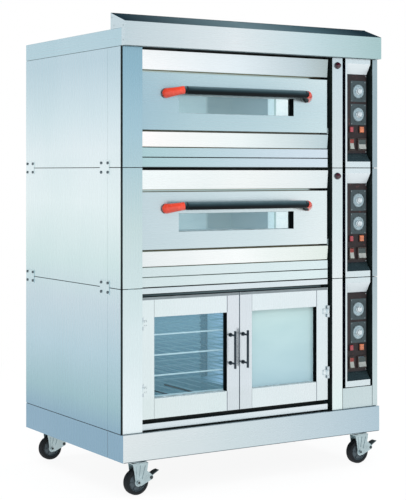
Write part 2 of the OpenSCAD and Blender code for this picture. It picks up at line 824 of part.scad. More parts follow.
module fork(s, d) {
  color("silver") at_caster(s, d) {
    difference() {
      union() {
        translate([-33, -leg_out, crown_z0]) cube([66, 2 * leg_out, crown_z1 - crown_z0]);
        for (y = [leg_out, -leg_in])
          translate([0, y, 0]) rotate([90, 0, 0]) linear_extrude(leg_out - leg_in) fork_leg();
      }
      translate([0, 0, crown_z0 - 1]) cylinder(r = kingpin_r + fit, h = 8);
    }
    cross_pin(-caster_trail, wheel_r, axle_r, leg_out);
    for (y = [leg_out + 5, -leg_out])
      translate([-caster_trail, y, wheel_r]) rotate([90, 0, 0]) cylinder(r = 8, h = 5, $fn = 6);
  }
}

module wheel(s, d) {
  color("#1c2226") at_caster(s - caster_trail, d) translate([0, wheel_w / 2, wheel_r])
    rotate([90, 0, 0]) rotate_extrude()
    polygon([[axle_r + fit, -2], [12, -2], [12, 4], [wheel_r - 16, 6], [wheel_r - 12, 1],
      [wheel_r - 5, 0], [wheel_r, 6], [wheel_r, wheel_w - 6], [wheel_r - 5, wheel_w],
      [wheel_r - 12, wheel_w - 1], [wheel_r - 16, wheel_w - 6], [12, wheel_w - 4],
      [12, wheel_w + 2], [axle_r + fit, wheel_w + 2]]);
}

// Foot pedal with its cross pin and a brake cam beside the tyre
module pedal(s, d) {
  color("#26302f") at_caster(s, d) {
    cross_pin(pedal_x, pedal_z, pedal_pin_r, leg_out);
    cross_pin(pedal_x, pedal_z, 6, leg_in - 0.5);
    translate([pedal_x - 0.5, -9, pedal_z - 13]) cube([8, 18, 10]);
    translate([pedal_x, 0, pedal_z]) rotate([0, -tongue_slope, 0])
      translate([0, -leg_in + 0.5, 1]) cube([tongue_l, 2 * leg_in - 1, 4]);
  }
}

// ---------- assembly ----------
base_skirt();
inner_frame();
caster_plates();
side_panels();
back_panels();
front_columns();
control_fascias();
control_plates();
dial_plates();
indicator_lenses();
switch_frames();
deck_front_panels();
baking_chambers();
hearth_plates();
heating_elements();
insulation();
proofer_liner();
proofer_front_frame();
proofer_shelves();
joining_plates();
top_cap();
hood();
rear_fittings();
control_gear();

color("gainsboro") door_shell(z_upper);  // upper_door_shell
door_glass(z_upper);  // upper_door_glass
handle_bar(z_upper);  // upper_handle_bar
handle_ends(z_upper);  // upper_handle_ends
color("gainsboro") door_shell(z_lower);  // lower_door_shell
door_glass(z_lower);  // lower_door_glass
handle_bar(z_lower);  // lower_handle_bar
handle_ends(z_lower);  // lower_handle_ends

color("lightsteelblue") proofer_door(left_door_s, left_door_s[0], 1);  // left_proofer_door
proofer_glass(left_door_s);  // left_proofer_glass
proofer_handle(proofer_handle_ss[0]);  // left_proofer_handle
color("lightsteelblue") proofer_door(right_door_s, right_door_s[1], -1);  // right_proofer_door
proofer_glass(right_door_s);  // right_proofer_glass
proofer_handle(proofer_handle_ss[1]);  // right_proofer_handle

color("silver") knob(z_top, dial_drops[0]);  // upper_top_knob
color("silver") knob(z_top, dial_drops[1]);  // upper_bottom_knob
color("silver") knob(z_upper, dial_drops[0]);  // lower_top_knob
color("silver") knob(z_upper, dial_drops[1]);  // lower_bottom_knob
color("silver") knob(z_lower, dial_drops[0]);  // proofer_top_knob
color("silver") knob(z_lower, dial_drops[1]);  // proofer_bottom_knob

color("beige") rocker(left_item_s, z_top - switch_drop, lamp_rocker);  // upper_lamp_switch
color("#303638") rocker(right_item_s, z_top - switch_drop, power_rocker);  // upper_power_switch
color("beige") rocker(left_item_s, z_upper - switch_drop, lamp_rocker);  // lower_lamp_switch
color("#303638") rocker(right_item_s, z_upper - switch_drop, power_rocker);  // lower_power_switch
color("beige") rocker(left_item_s, z_lower - switch_drop, lamp_rocker);  // proofer_lamp_switch
color("#303638") rocker(right_item_s, z_lower - switch_drop, power_rocker);  // proofer_power_switch

fork(caster_ss[0], caster_ds[0]);  // front_left_fork
fork(caster_ss[1], caster_ds[0]);  // front_right_fork
fork(caster_ss[0], caster_ds[1]);  // rear_left_fork
fork(caster_ss[1], caster_ds[1]);  // rear_right_fork
wheel(caster_ss[0], caster_ds[0]);  // front_left_wheel
wheel(caster_ss[1], caster_ds[0]);  // front_right_wheel
wheel(caster_ss[0], caster_ds[1]);  // rear_left_wheel
wheel(caster_ss[1], caster_ds[1]);  // rear_right_wheel
pedal(caster_ss[0], caster_ds[0]);  // front_left_pedal
pedal(caster_ss[1], caster_ds[0]);  // front_right_pedal
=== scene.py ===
"""Looks of a two-deck baking oven on a proofer cabinet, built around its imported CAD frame."""
import math

import bmesh
import bpy
from mathutils import Matrix, Vector


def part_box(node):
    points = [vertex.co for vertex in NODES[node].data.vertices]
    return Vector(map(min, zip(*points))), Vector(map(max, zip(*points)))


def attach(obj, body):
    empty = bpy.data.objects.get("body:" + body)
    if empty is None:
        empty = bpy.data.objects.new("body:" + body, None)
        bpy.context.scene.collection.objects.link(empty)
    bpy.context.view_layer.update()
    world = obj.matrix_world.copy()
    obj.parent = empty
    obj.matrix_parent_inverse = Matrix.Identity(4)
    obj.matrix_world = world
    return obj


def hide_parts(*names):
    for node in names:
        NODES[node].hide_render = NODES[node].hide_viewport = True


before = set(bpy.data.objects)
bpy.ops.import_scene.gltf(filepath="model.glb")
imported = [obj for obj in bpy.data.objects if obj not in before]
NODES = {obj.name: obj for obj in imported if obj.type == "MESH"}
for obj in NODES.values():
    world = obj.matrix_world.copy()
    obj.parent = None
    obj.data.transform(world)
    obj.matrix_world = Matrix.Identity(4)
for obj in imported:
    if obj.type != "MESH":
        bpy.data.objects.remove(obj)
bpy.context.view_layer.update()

MM = 0.001
DOORS = ("upper", "lower")
MODULES = ("upper", "lower", "proofer")
DIALS = ("top", "bottom")
SIDES = ("left", "right")

# Layout in mm: s right of the left side, d behind the front plane, z above the floor.
CORNER = Vector((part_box("top_cap")[0].x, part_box("top_cap")[0].y, 0.0))
CABINET_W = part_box("top_cap")[1].x - CORNER.x
BASE_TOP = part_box("inner_frame")[0].z + 106 * MM
WIDTH = 1240
BACK_D = 860
MODULE_TOPS = {"proofer": 796, "lower": 1258, "upper": 1720}
DECK_BOTTOMS = {"lower": 796, "upper": 1258}
DIAL_DROPS = {"top": 137, "bottom": 235}
INDICATOR_DROP = 299
SWITCH_DROP = 362
DIAL_S = 1155
ITEM_S = {"lamp": 1116, "power": 1171}
PLATE_D = 23.5
BAR_HEIGHTS = {"lower": 1110, "upper": 1557}
BAR_D = -47
BAR_ENDS = ((261, -1), (821, 1))
PANE_S = {"left": (152, 485.5), "right": (605.5, 929)}
PANE_RISE = (0.36, 0.69)
PROOFER_RISE = (BASE_TOP, BASE_TOP + 0.55)
UPRIGHTS_S = (176, 864)
DECK_DOOR_TALL = 221 * MM
WINDOW_MARGIN = 0.5 * MM
LAMP_STRIP_END = 1054
FASCIA_S = 1075
# A face counts as facing along an axis when its normal's part on it is larger than this.
FACING = 0.7
# Depths in mm that part the faces of one CAD node into its slots.
FOLD_D = 2.5
HINGE_D = 14
FASCIA_BACK_D = 22
DECK_FACE_D = 30
DOOR_PLATE_D = 46
FLANGE_D = 61
SHELF_END_D = 94
CHAMBER_REAR_D = 700
CASTERS = [(row, side, s, d) for row, d in (("front", 50), ("rear", 810))
           for side, s in (("left", 100), ("right", 1180))]
AXLE_SHIFT = -10
AXLE_Z = 50
PEDAL_PIVOT = (47, 64)


def at(s, d, z):
    """Point s mm right of the left side, d mm behind the front plane and z mm above the floor."""
    return Vector((CORNER.x + s * MM, CORNER.y + d * MM, z * MM))


def across(s):
    return at(s, 0, 0).x


def deep(d):
    return at(0, d, 0).y


def shift(s, d, z):
    """Step of s, d, z mm from a point."""
    return Vector((s * MM, d * MM, z * MM))


def srgb(tone):
    """Linear colour from display values of 0 to 255."""
    def channel(value):
        v = value / 255
        return v / 12.92 if v <= 0.04045 else ((v + 0.055) / 1.055) ** 2.4
    return tuple(channel(value) for value in tone)


def evenly(*tones):
    """Tones at even places from 0 to 1."""
    return [(i / (len(tones) - 1), tone) for i, tone in enumerate(tones)]


def put(name, data):
    obj = bpy.data.objects.new(name, data)
    bpy.context.scene.collection.objects.link(obj)
    return obj


# ---------------------------------------------------------------- stage
FLOOR_REACH = 150.0
FOCAL_MM = 97.6
CAMERA_TURN = math.radians(32.0)
CAMERA_PLACE = (-2454, -4509, 1241)
OVEN_MIDDLE = (0, 0, 0.9)


def build_camera():
    """Level camera at the front left, as far off as the picture's perspective says."""
    data = bpy.data.cameras.new("camera")
    data.lens = FOCAL_MM
    data.sensor_fit = "VERTICAL"
    data.sensor_height = 36.0
    data.shift_y = -0.156
    data.clip_end = 60.0
    camera = put("camera", data)
    camera.location = at(*CAMERA_PLACE)
    camera.rotation_euler = (math.radians(90), 0, -CAMERA_TURN)
    bpy.context.scene.camera = camera


def build_world():
    """Bright walls, a dark slate ceiling and a white backdrop behind the object."""
    world = bpy.data.worlds.new("studio")
    world.use_nodes = True
    nodes = world.node_tree.nodes
    nodes.clear()
    coords, split, ramp, studio, backdrop, path, mix, out = (
        nodes.new(f"ShaderNode{kind}") for kind in (
            "TexCoord", "SeparateXYZ", "ValToRGB", "Background", "Background", "LightPath",
            "MixShader", "OutputWorld"))
    set_ramp(ramp, [(0.0, (0.93, 0.97, 1.0)), (0.16, (0.88, 0.95, 1.0)),
                    (0.34, (0.30, 0.38, 0.43)), (0.60, (0.09, 0.13, 0.16)),
                    (1.0, (0.07, 0.10, 0.12))])
    backdrop.inputs["Color"].default_value = (1.0, 1.0, 1.0, 1)
    for source, target in (
            (coords.outputs["Generated"], split.inputs[0]),
            (split.outputs["Z"], ramp.inputs["Fac"]),
            (ramp.outputs["Color"], studio.inputs["Color"]),
            (path.outputs["Is Camera Ray"], mix.inputs["Fac"]),
            (studio.outputs[0], mix.inputs[1]),
            (backdrop.outputs[0], mix.inputs[2]),
            (mix.outputs[0], out.inputs["Surface"])):
        world.node_tree.links.new(source, target)
    bpy.context.scene.world = world


def soft_light(name, place, target, size, watts):
    """Area light that metal does not mirror."""
    data = bpy.data.lights.new(name, "AREA")
    data.shape = "RECTANGLE"
    data.size, data.size_y = size
    data.energy = watts
    light = put(name, data)
    light.location = place
    light.rotation_euler = (Vector(target) - light.location).to_track_quat("-Z", "Y").to_euler()
    light.visible_glossy = False


def build_stage():
    """Matt white floor that fades into the backdrop, and soft lights all round."""
    mesh = bpy.data.meshes.new("floor")
    mesh.from_pydata([(x * FLOOR_REACH, y * FLOOR_REACH, 0)
                      for x, y in ((-1, -1), (1, -1), (1, 1), (-1, 1))], [], [(0, 1, 2, 3)])
    floor = put("floor", mesh)
    shader = Shader("floor_paint", Base_Color=(0.96, 0.97, 0.97, 1), Roughness=0.9,
                    Specular_IOR_Level=0.1)
    length = shader.add("VectorMath")
    length.operation = "LENGTH"
    fade = shader.add("MapRange", From_Min=0.6, From_Max=3.2, To_Min=0.92)
    fade.interpolation_type = "SMOOTHSTEP"
    glow = shader.add("Emission")
    mix = shader.add("MixShader")
    shader.link(shader.coords, length.inputs[0])
    shader.link(length.outputs["Value"], fade.inputs["Value"])
    shader.link(fade.outputs["Result"], mix.inputs["Fac"])
    shader.link(shader.bsdf.outputs[0], mix.inputs[1])
    shader.link(glow.outputs[0], mix.inputs[2])
    shader.link(mix.outputs[0], shader.tree.nodes["Material Output"].inputs["Surface"])
    mesh.materials.append(shader.material)
    for name, place, target, size, watts in (
            ("front_light", (-3.0, -6.0, 4.5), OVEN_MIDDLE, (4, 3), 240),
            ("top_light", (0.0, -1.0, 6.0), (0, 0, 0), (7, 7), 380),
            ("left_light", (-6.0, 1.0, 3.0), OVEN_MIDDLE, (3, 3), 100),
            ("right_light", (6.0, 1.0, 3.5), OVEN_MIDDLE, (3, 3), 100),
            ("back_light", (1.0, 7.0, 3.0), OVEN_MIDDLE, (4, 3), 220)):
        soft_light(name, place, target, size, watts)
    bpy.context.scene.view_settings.view_transform = "Standard"
    bpy.context.scene.view_settings.look = "None"


# ---------------------------------------------------------------- materials
def set_ramp(ramp, stops):
    elements = ramp.color_ramp.elements
    while len(elements) > 1:
        elements.remove(elements[-1])
    elements[0].position = stops[0][0]
    elements[0].color = (*stops[0][1], 1)
    for position, color in stops[1:]:
        elements.new(position).color = (*color, 1)


class Shader:
    """A material under construction: short calls add nodes around one Principled shader."""

    def __init__(self, name, **constants):
        self.material = bpy.data.materials.new(name)
        self.material.use_nodes = True
        self.tree = self.material.node_tree
        self.bsdf = self.tree.nodes["Principled BSDF"]
        self.fill(self.bsdf, constants)
        self.coords = self.add("TexCoord").outputs["Object"]

    def fill(self, node, constants):
        for key, value in constants.items():
            node.inputs[key.replace("_", " ")].default_value = value

    def add(self, kind, **constants):
        node = self.tree.nodes.new(f"ShaderNode{kind}")
        self.fill(node, constants)
        return node

    def link(self, source, target):
        self.tree.links.new(source, target)

    def noise(self, scale, stretch=(1, 1, 1), detail=3.0):
        mapping = self.add("Mapping", Scale=stretch)
        self.link(self.coords, mapping.inputs["Vector"])
        noise = self.add("TexNoise", Scale=scale, Detail=detail)
        self.link(mapping.outputs[0], noise.inputs["Vector"])
        return noise.outputs["Fac"]

    def spread(self, value, low, high, from_low=0.3, from_high=0.7):
        """Map a noise value onto a range."""
        node = self.add("MapRange", From_Min=from_low, From_Max=from_high, To_Min=low,
                        To_Max=high)
        self.link(value, node.inputs["Value"])
        return node.outputs["Result"]

    def ramp(self, value, stops):
        node = self.add("ValToRGB")
        set_ramp(node, stops)
        self.link(value, node.inputs["Fac"])
        return node.outputs["Color"]

    def tones(self, value, steps):
        """Ramp of display tones."""
        return self.ramp(value, [(place, srgb(tone)) for place, tone in steps])

    def mottle(self, value, low, high, tone, factor):
        """Tone that darkens by a factor where the noise is low."""
        color = srgb(tone)
        return self.ramp(value, [(low, [c * factor for c in color]), (high, color)])

    def mix(self, factor, first, second, blend="MIX"):
        node = self.add("MixRGB")
        node.blend_type = blend
        for value, socket in ((factor, "Fac"), (first, "Color1"), (second, "Color2")):
            if isinstance(value, tuple):
                node.inputs[socket].default_value = (*value, 1)
            elif isinstance(value, (int, float)):
                node.inputs[socket].default_value = value
            else:
                self.link(value, node.inputs[socket])
        return node.outputs["Color"]

    def film(self, factor, base, value, *stops):
        """Base multiplied by a ramp of tints that follows a value: smudges and marks where the
        value is a noise, painted light and shade where it is a height.
        """
        return self.mix(factor, base, self.ramp(value, stops), "MULTIPLY")

    def split(self, vector):
        node = self.add("SeparateXYZ")
        self.link(vector, node.inputs[0])
        return node.outputs

    def place(self, axis, low, high):
        """0 to 1 along an axis of the object, from low to high metres."""
        return self.spread(self.split(self.coords)[axis], 0.0, 1.0, low, high)

    def slant(self, slope, low, high):
        """0 to 1 across lines that run slantwise over the plan, from low to high metres."""
        parts = self.split(self.coords)
        turn = self.add("Math")
        turn.operation = "MULTIPLY_ADD"
        turn.inputs[1].default_value = -slope
        self.link(parts["Y"], turn.inputs[0])
        self.link(parts["X"], turn.inputs[2])
        return self.spread(turn.outputs[0], 0.0, 1.0, low, high)

    def facing_up(self):
        """0 where a surface faces the floor, 1 where it faces up."""
        normal = self.add("NewGeometry").outputs["Normal"]
        return self.spread(self.split(normal)["Z"], 0.0, 1.0, -1.0, 1.0)

    def finish(self, color, height, strength, distance, gloss=None, rough=None):
        """Connect colour, bump and the noise that the roughness follows."""
        self.link(color, self.bsdf.inputs["Base Color"])
        if gloss:
            self.link(self.spread(gloss, *rough), self.bsdf.inputs["Roughness"])
        node = self.add("Bump", Strength=strength, Distance=distance)
        self.link(height, node.inputs["Height"])
        self.link(node.outputs[0], self.bsdf.inputs["Normal"])
        return self.material


GRAIN = {"X": (1.2, 420, 420), "Y": (420, 1.2, 420), "Z": (420, 420, 1.2)}
SPAN = {"X": (across(91), across(986)), "Z": (0.14, 1.72)}
FULL_WIDTH = (across(0), across(WIDTH))


def steel(name, tones, axis="Z", grain="X", rough=(0.2, 0.3), span=None, metallic=0.9,
          specular=0.5, rise=None):
    """Brushed stainless sheet: tones along an axis that are painted reflections, fine grain,
    smudges and slight waviness.
    Rise is (low, high, steps) of a second tint that runs up the sheet: painted light and shade."""
    shader = Shader(name, Metallic=metallic, Specular_IOR_Level=specular)
    base = shader.tones(shader.place(axis, *(span or SPAN[axis])), tones)
    if rise:
        low, high, steps = rise
        base = shader.film(1.0, base, shader.place("Z", low, high), *steps)
    brushed = shader.noise(1.0, GRAIN[grain], 5.0)
    cloudy = shader.noise(2.6, detail=4.0)
    wavy = shader.noise(5.0, detail=1.0)
    streaked = shader.film(0.35, base, brushed, (0.3, (0.93, 0.94, 0.945)),
                           (0.7, (1.05, 1.045, 1.04)))
    color = shader.film(0.6, streaked, cloudy, (0.35, (0.94, 0.97, 0.975)),
                        (0.65, (1.03, 1.02, 1.03)))
    return shader.finish(color, shader.mix(0.25, wavy, brushed), 0.03, 0.001, brushed, rough)


def plain_metal(name, tone, rough=(0.3, 0.5), metallic=0.9, mottle=20.0, worn=None,
                specular=0.5):
    """Cast, plated or painted metal: mottled colour, uneven gloss and worn spots."""
    shader = Shader(name, Metallic=metallic, Specular_IOR_Level=specular)
    patches = shader.noise(mottle, detail=5.0)
    fine = shader.noise(mottle * 12, detail=2.0)
    base = shader.mottle(patches, 0.3, 0.7, tone, 0.72)
    if worn:
        spots = shader.ramp(shader.noise(mottle * 3, detail=6.0),
                            [(0.62, (0, 0, 0)), (0.72, (1, 1, 1))])
        base = shader.mix(spots, base, srgb(worn))
    return shader.finish(base, fine, 0.12, 0.0003, patches, rough)


def plastic(name, tone, rough=(0.25, 0.4), fine=900.0, bump=0.1, coat=0.0):
    """Moulded plastic: faint colour variation, rubbed gloss and moulded texture."""
    shader = Shader(name, Specular_IOR_Level=0.5, Coat_Weight=coat)
    patches = shader.noise(35.0)
    return shader.finish(shader.mottle(patches, 0.3, 0.7, tone, 0.82),
                         shader.noise(fine, detail=2.0), bump, 0.0002, patches, rough)


def grip_plastic(name, steps):
    """Matt moulded grip: dark below and paler on its top, painted light from above, with rubbed
    patches.
    """
    shader = Shader(name, Specular_IOR_Level=0.12)
    rubbed = shader.noise(28.0, detail=4.0)
    color = shader.film(0.8, shader.tones(shader.facing_up(), steps), rubbed,
                        (0.3, (0.85, 0.87, 0.88)), (0.7, (1.1, 1.08, 1.07)))
    return shader.finish(color, shader.noise(900.0, detail=2.0), 0.1, 0.0002, rubbed,
                         (0.4, 0.55))


def rubber(name, tone):
    """Tyre or seal rubber with dust in its pores."""
    shader = Shader(name, Specular_IOR_Level=0.3)
    dust = shader.noise(60.0, detail=6.0)
    color = srgb(tone)
    dusty = [min(1.0, c * 1.9 + 0.004) for c in color]
    return shader.finish(shader.ramp(dust, [(0.4, color), (0.8, dusty)]),
                         shader.noise(1500.0, detail=2.0), 0.2, 0.0003, dust, (0.55, 0.8))


def lens_plastic(name, tone, glow=0.0):
    """Translucent coloured plastic of lamps, with a ribbed inside that shows as bands."""
    shader = Shader(name, Specular_IOR_Level=0.6, Coat_Weight=0.6, Emission_Strength=glow,
                    Emission_Color=(*srgb(tone), 1))
    bands = shader.noise(1.0, (4, 4, 900), 1.0)
    return shader.finish(shader.mottle(bands, 0.35, 0.65, tone, 0.5), bands, 0.15, 0.0003,
                         bands, (0.12, 0.22))


def glass(name, tone, alpha, low, high, deepest):
    """Tinted pane: clearness is one value, tint runs from tone to the deepest at its foot."""
    shader = Shader(name, Specular_IOR_Level=0.7, Alpha=alpha, Coat_Weight=0.5)
    smears = shader.noise(5.0, (1, 1, 3), 4.0)
    color = shader.film(0.7, shader.tones(shader.place("Z", low, high), evenly(deepest, tone)),
                        smears, (0.35, (0.92, 0.95, 0.96)), (0.65, (1.05, 1.04, 1.03)))
    return shader.finish(color, smears, 0.02, 0.0005, smears, (0.05, 0.12))


def wool(name, tone):
    """Mineral wool: fibres at two scales."""
    shader = Shader(name, Specular_IOR_Level=0.1, Roughness=0.95)
    fibres = shader.noise(220.0, (1, 6, 1), 6.0)
    return shader.finish(shader.mottle(fibres, 0.3, 0.7, tone, 0.6), fibres, 0.8, 0.002)


def lit_liner(name, tones, low, high, axis, glow, shadow=None, tint=None):
    """Brushed steel sheet that glows with painted light, as if lit inside a chamber; its tones
    are painted light and shade.
    Shadow is (slope, low, high, tone) of a slanting painted shadow band, tint (low, high, tone) a
    paler right end of painted light."""
    shader = Shader(name, Metallic=0.5, Emission_Strength=glow)
    base = shader.tones(shader.place(axis, low, high), tones)
    if shadow:
        slope, near, far, tone = shadow
        band = shader.ramp(shader.slant(slope, near, far), [
            (0.0, (0, 0, 0)), (0.08, (1, 1, 1)), (0.92, (1, 1, 1)), (1.0, (0, 0, 0))])
        base = shader.mix(band, base, srgb(tone))
    if tint:
        base = shader.mix(shader.place("X", *tint[:2]), base, srgb(tint[2]))
    marks = shader.noise(9.0, (1, 1, 4), 5.0)
    color = shader.film(0.7, base, marks, (0.3, (0.82, 0.86, 0.88)), (0.7, (1.05, 1.04, 1.03)))
    shader.link(color, shader.bsdf.inputs["Emission Color"])
    return shader.finish(color, marks, 0.06, 0.0005, marks, (0.3, 0.5))


# ---------------------------------------------------------------- CAD nodes
def dress(node, *materials, rule=None, bevel=0.0):
    """Give a CAD node its materials; rule picks a slot from a face's middle and normal."""
    obj = NODES[node]
    obj.data.materials.clear()
    for material in materials:
        obj.data.materials.append(material)
    for face in obj.data.polygons:
        face.material_index = rule(face.center, face.normal) if rule else 0
    if bevel:
        soften(obj, bevel)


def soften(obj, width):
    """Rounded edges on folded sheet and machined parts."""
    weld = obj.modifiers.new("weld", "WELD")
    weld.merge_threshold = 0.00001
    edge = obj.modifiers.new("edge", "BEVEL")
    edge.width = width
    edge.segments = 2
    edge.limit_method = "ANGLE"
    edge.angle_limit = math.radians(35)
    edge.harden_normals = True


def dress_cabinet():
    # The tones along the side, column, strip, skirt and hood sheets are painted reflections.
    side = steel("side_steel", [
        (0.06, (131, 165, 186)), (0.13, (151, 186, 195)), (0.25, (176, 203, 214)),
        (0.37, (194, 212, 220)), (0.47, (204, 225, 225)), (0.62, (226, 238, 238)),
        (0.75, (226, 236, 237)), (0.84, (212, 227, 230)), (0.97, (192, 211, 218))], grain="Z")
    column = steel("column_steel", [
        (0.1, (229, 240, 242)), (0.32, (217, 232, 234)), (0.56, (198, 218, 218)),
        (0.80, (168, 199, 210)), (0.95, (150, 186, 201))], grain="Z")
    strip = steel("strip_steel", [
        (0.15, (199, 215, 217)), (0.5, (166, 182, 190)), (0.9, (165, 182, 188))], grain="Z")
    lamp = steel("lamp_strip_steel", [
        (0.1, (226, 240, 239)), (0.22, (234, 240, 240)), (0.37, (234, 240, 241)),
        (0.55, (222, 234, 235)), (0.75, (216, 226, 227)), (0.95, (210, 222, 226))], grain="Z")
    skirt = steel("skirt_steel", [
        (0.0, (221, 228, 229)), (0.45, (205, 218, 222)), (1.0, (175, 197, 208))], "X",
        span=FULL_WIDTH)
    hood = steel("hood_steel", [
        (0.0, (206, 217, 220)), (0.4, (236, 239, 239)), (0.7, (206, 224, 226)),
        (1.0, (176, 203, 202))], "X", span=FULL_WIDTH)
    # Matt, with dark tones along it: painted reflection and shade on the hood slope.
    slope = steel("hood_slope_steel", [
        (0.0, (12, 30, 38)), (0.45, (80, 99, 105)), (0.72, (51, 73, 80)),
        (0.95, (14, 31, 39))], "X", span=FULL_WIDTH, metallic=0.0, specular=0.05,
        rough=(0.6, 0.7))
    cap = steel("cap_steel", evenly((186, 209, 216), (186, 209, 216)), grain="Y")
    lid = steel("lid_steel", evenly((142, 156, 162), (150, 164, 170)), grain="Y", metallic=0.3,
                rough=(0.4, 0.5))
    back = steel("back_steel", evenly((186, 200, 206), (204, 216, 220)))
    # Near black that stands in for shade: the inner frame behind the gaps, the columns' inward
    # folds and the plate behind the proofer doors.
    dark = plain_metal("painted_shade_black", (18, 30, 30), (0.5, 0.7), 0.1)
    zinc = plain_metal("zinc_plate", (186, 204, 206), (0.28, 0.42), 0.85, 30.0)
    bolt = plain_metal("bolt_steel", (96, 110, 116), (0.3, 0.45), 0.85, 60.0)
    knuckle = plain_metal("knuckle_steel", (208, 219, 224), (0.5, 0.65), 0.2, 60.0)
    plate_face = CABINET_W / 2 + 2.2 * MM
    dress("side_panels", side, bevel=0.0006)
    dress("front_columns", column, strip, lamp, dark, rule=column_slot, bevel=0.0006)
    dress("back_panels", back, bevel=0.0005)
    dress("base_skirt", skirt, side, rule=lambda c, n: int(abs(n.x) > FACING), bevel=0.0008)
    dress("inner_frame", dark)
    dress("caster_plates", zinc, bevel=0.0006)
    dress("joining_plates", side, bolt, bevel=0.0005,
          rule=lambda c, n: int(abs(c.x - CORNER.x - CABINET_W / 2) > plate_face))
    dress("top_cap", cap, lid, rule=lambda c, n: int(n.z > FACING), bevel=0.0008)
    dress("hood", hood, slope, rule=lambda c, n: int(n.z > 0.4), bevel=0.0007)
    dress("rear_fittings", zinc, bevel=0.0005)
    dress("control_gear", plastic("relay_plastic", (70, 74, 78)))
    dress_deck_fronts(zinc)
    trim = steel("trim_steel", evenly((214, 226, 230), (224, 234, 238)), "X")
    dress("proofer_front_frame", trim, knuckle, dark, rule=proofer_frame_slot, bevel=0.0004)


def column_slot(center, normal):
    """Left column, right strip with the panel below the fascia, lamp strip, and folds painted
    dark as shade.
    """
    if center.x < 0:
        return 0
    if center.y > deep(FOLD_D):
        return 3
    return 2 if center.x < across(LAMP_STRIP_END) else 1


def proofer_frame_slot(center, normal):
    """Trims above and below the doors, hinge knuckles, and in painted shade the plate behind the
    doors and the upward faces below them.
    """
    if center.y > deep(DOOR_PLATE_D) or normal.z > FACING and center.z < 300 * MM:
        return 2
    return int(center.y < deep(HINGE_D))


def dress_deck_fronts(pin):
    """Header, apron and sill bands of both decks, each with painted light and reflections along
    its length.
    """
    materials = [steel(f"{name}_steel", stops, "X") for name, stops in (
        ("upper_header", [(0.0, (252, 252, 252)), (0.5, (232, 241, 245)),
                          (0.85, (196, 211, 216)), (1.0, (176, 190, 190))]),
        ("lower_header", [(0.0, (243, 249, 249)), (0.6, (241, 245, 244)),
                          (1.0, (224, 235, 236))]),
        ("upper_apron", evenly((254, 251, 249), (239, 247, 246), (188, 208, 213))),
        ("lower_apron", evenly((232, 237, 238), (249, 252, 251), (226, 236, 230))),
        ("upper_band", evenly((178, 209, 212), (200, 219, 226), (216, 228, 237))),
        ("lower_band", evenly((213, 227, 228), (221, 235, 236), (222, 238, 239))))]
    pin_slot, gap_slot = 6, 7
    header_foot, apron_foot = 376, 79
    pin_foot, pin_top = 138.5, 170

    def slot(center, normal):
        """Slot by the height above the deck's foot; the lower deck's tones come second."""
        if abs(normal.z) > FACING and center.y < deep(DECK_FACE_D):
            return gap_slot
        height = center.z / MM
        lower = int(height <= DECK_BOTTOMS["upper"] - 2)
        height -= DECK_BOTTOMS["lower" if lower else "upper"]
        if height > header_foot:
            return lower
        if pin_foot < height < pin_top:
            return pin_slot
        return 2 + lower if height > apron_foot else 4 + lower

    dress("deck_front_panels", *materials, pin, gap_steel(), rule=slot, bevel=0.0006)


def gap_tones(first, second):
    """Two pale tones along the oven, then dark towards the lamp strip: painted light, then
    painted shade.
    """
    return [(0.0, first), (0.92, second), (0.935, (8, 14, 14)), (1.0, (6, 12, 12))]


def gap_steel():
    """Edges inside the narrow gaps round the deck doors, glowing with painted light and dark with
    painted shade towards the lamp strip.
    """
    return lit_liner("gap_steel", gap_tones((150, 165, 163), (146, 160, 158)), *SPAN["X"], "X",
                     0.7)


def dress_controls():
    flush = steel("fascia_steel", evenly((214, 226, 229), (222, 232, 235)), grain="Z")
    bevel = steel("fascia_bevel_steel", evenly((223, 231, 234), (226, 234, 237)), metallic=0.25,
                  rough=(0.4, 0.5))
    shade = steel("fascia_shade_steel", evenly((60, 78, 82), (66, 84, 90)), metallic=0.7)
    dark = plain_metal("fascia_dark", (26, 26, 44), (0.45, 0.6), 0.3)

    def fascia_slot(center, normal):
        """Front sheet, lower and upper bevel of each fascia, and its dark folds; the pale bevel
        facing down is a painted reflection.
        """
        inner = center.x > across(FASCIA_S) and center.y > deep(FOLD_D)
        if not inner and center.y <= deep(FASCIA_BACK_D):
            return 0
        if normal.z > 0.3:
            return 2
        return 1 if normal.z < -0.3 and normal.y < 0 else 3

    dress("control_fascias", flush, bevel, shade, dark, rule=fascia_slot, bevel=0.0005)
    dress("control_plates", plain_metal("control_paint", (34, 24, 26), (0.4, 0.55), 0.1, 40.0,
                                        (92, 48, 50)), bevel=0.0006)
    square = plain_metal("dial_square", (74, 88, 92), (0.35, 0.5), 0.5, 30.0)
    ring_metal = plain_metal("dial_ring", (176, 198, 206), (0.25, 0.4), 0.7, 60.0)
    ring_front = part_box("dial_plates")[0].y + 1.2 * MM
    dress("dial_plates", square, ring_metal, rule=lambda c, n: int(c.y < ring_front),
          bevel=0.0004)
    dress("switch_frames", plastic("switch_frame_plastic", (58, 50, 48)), bevel=0.0006)


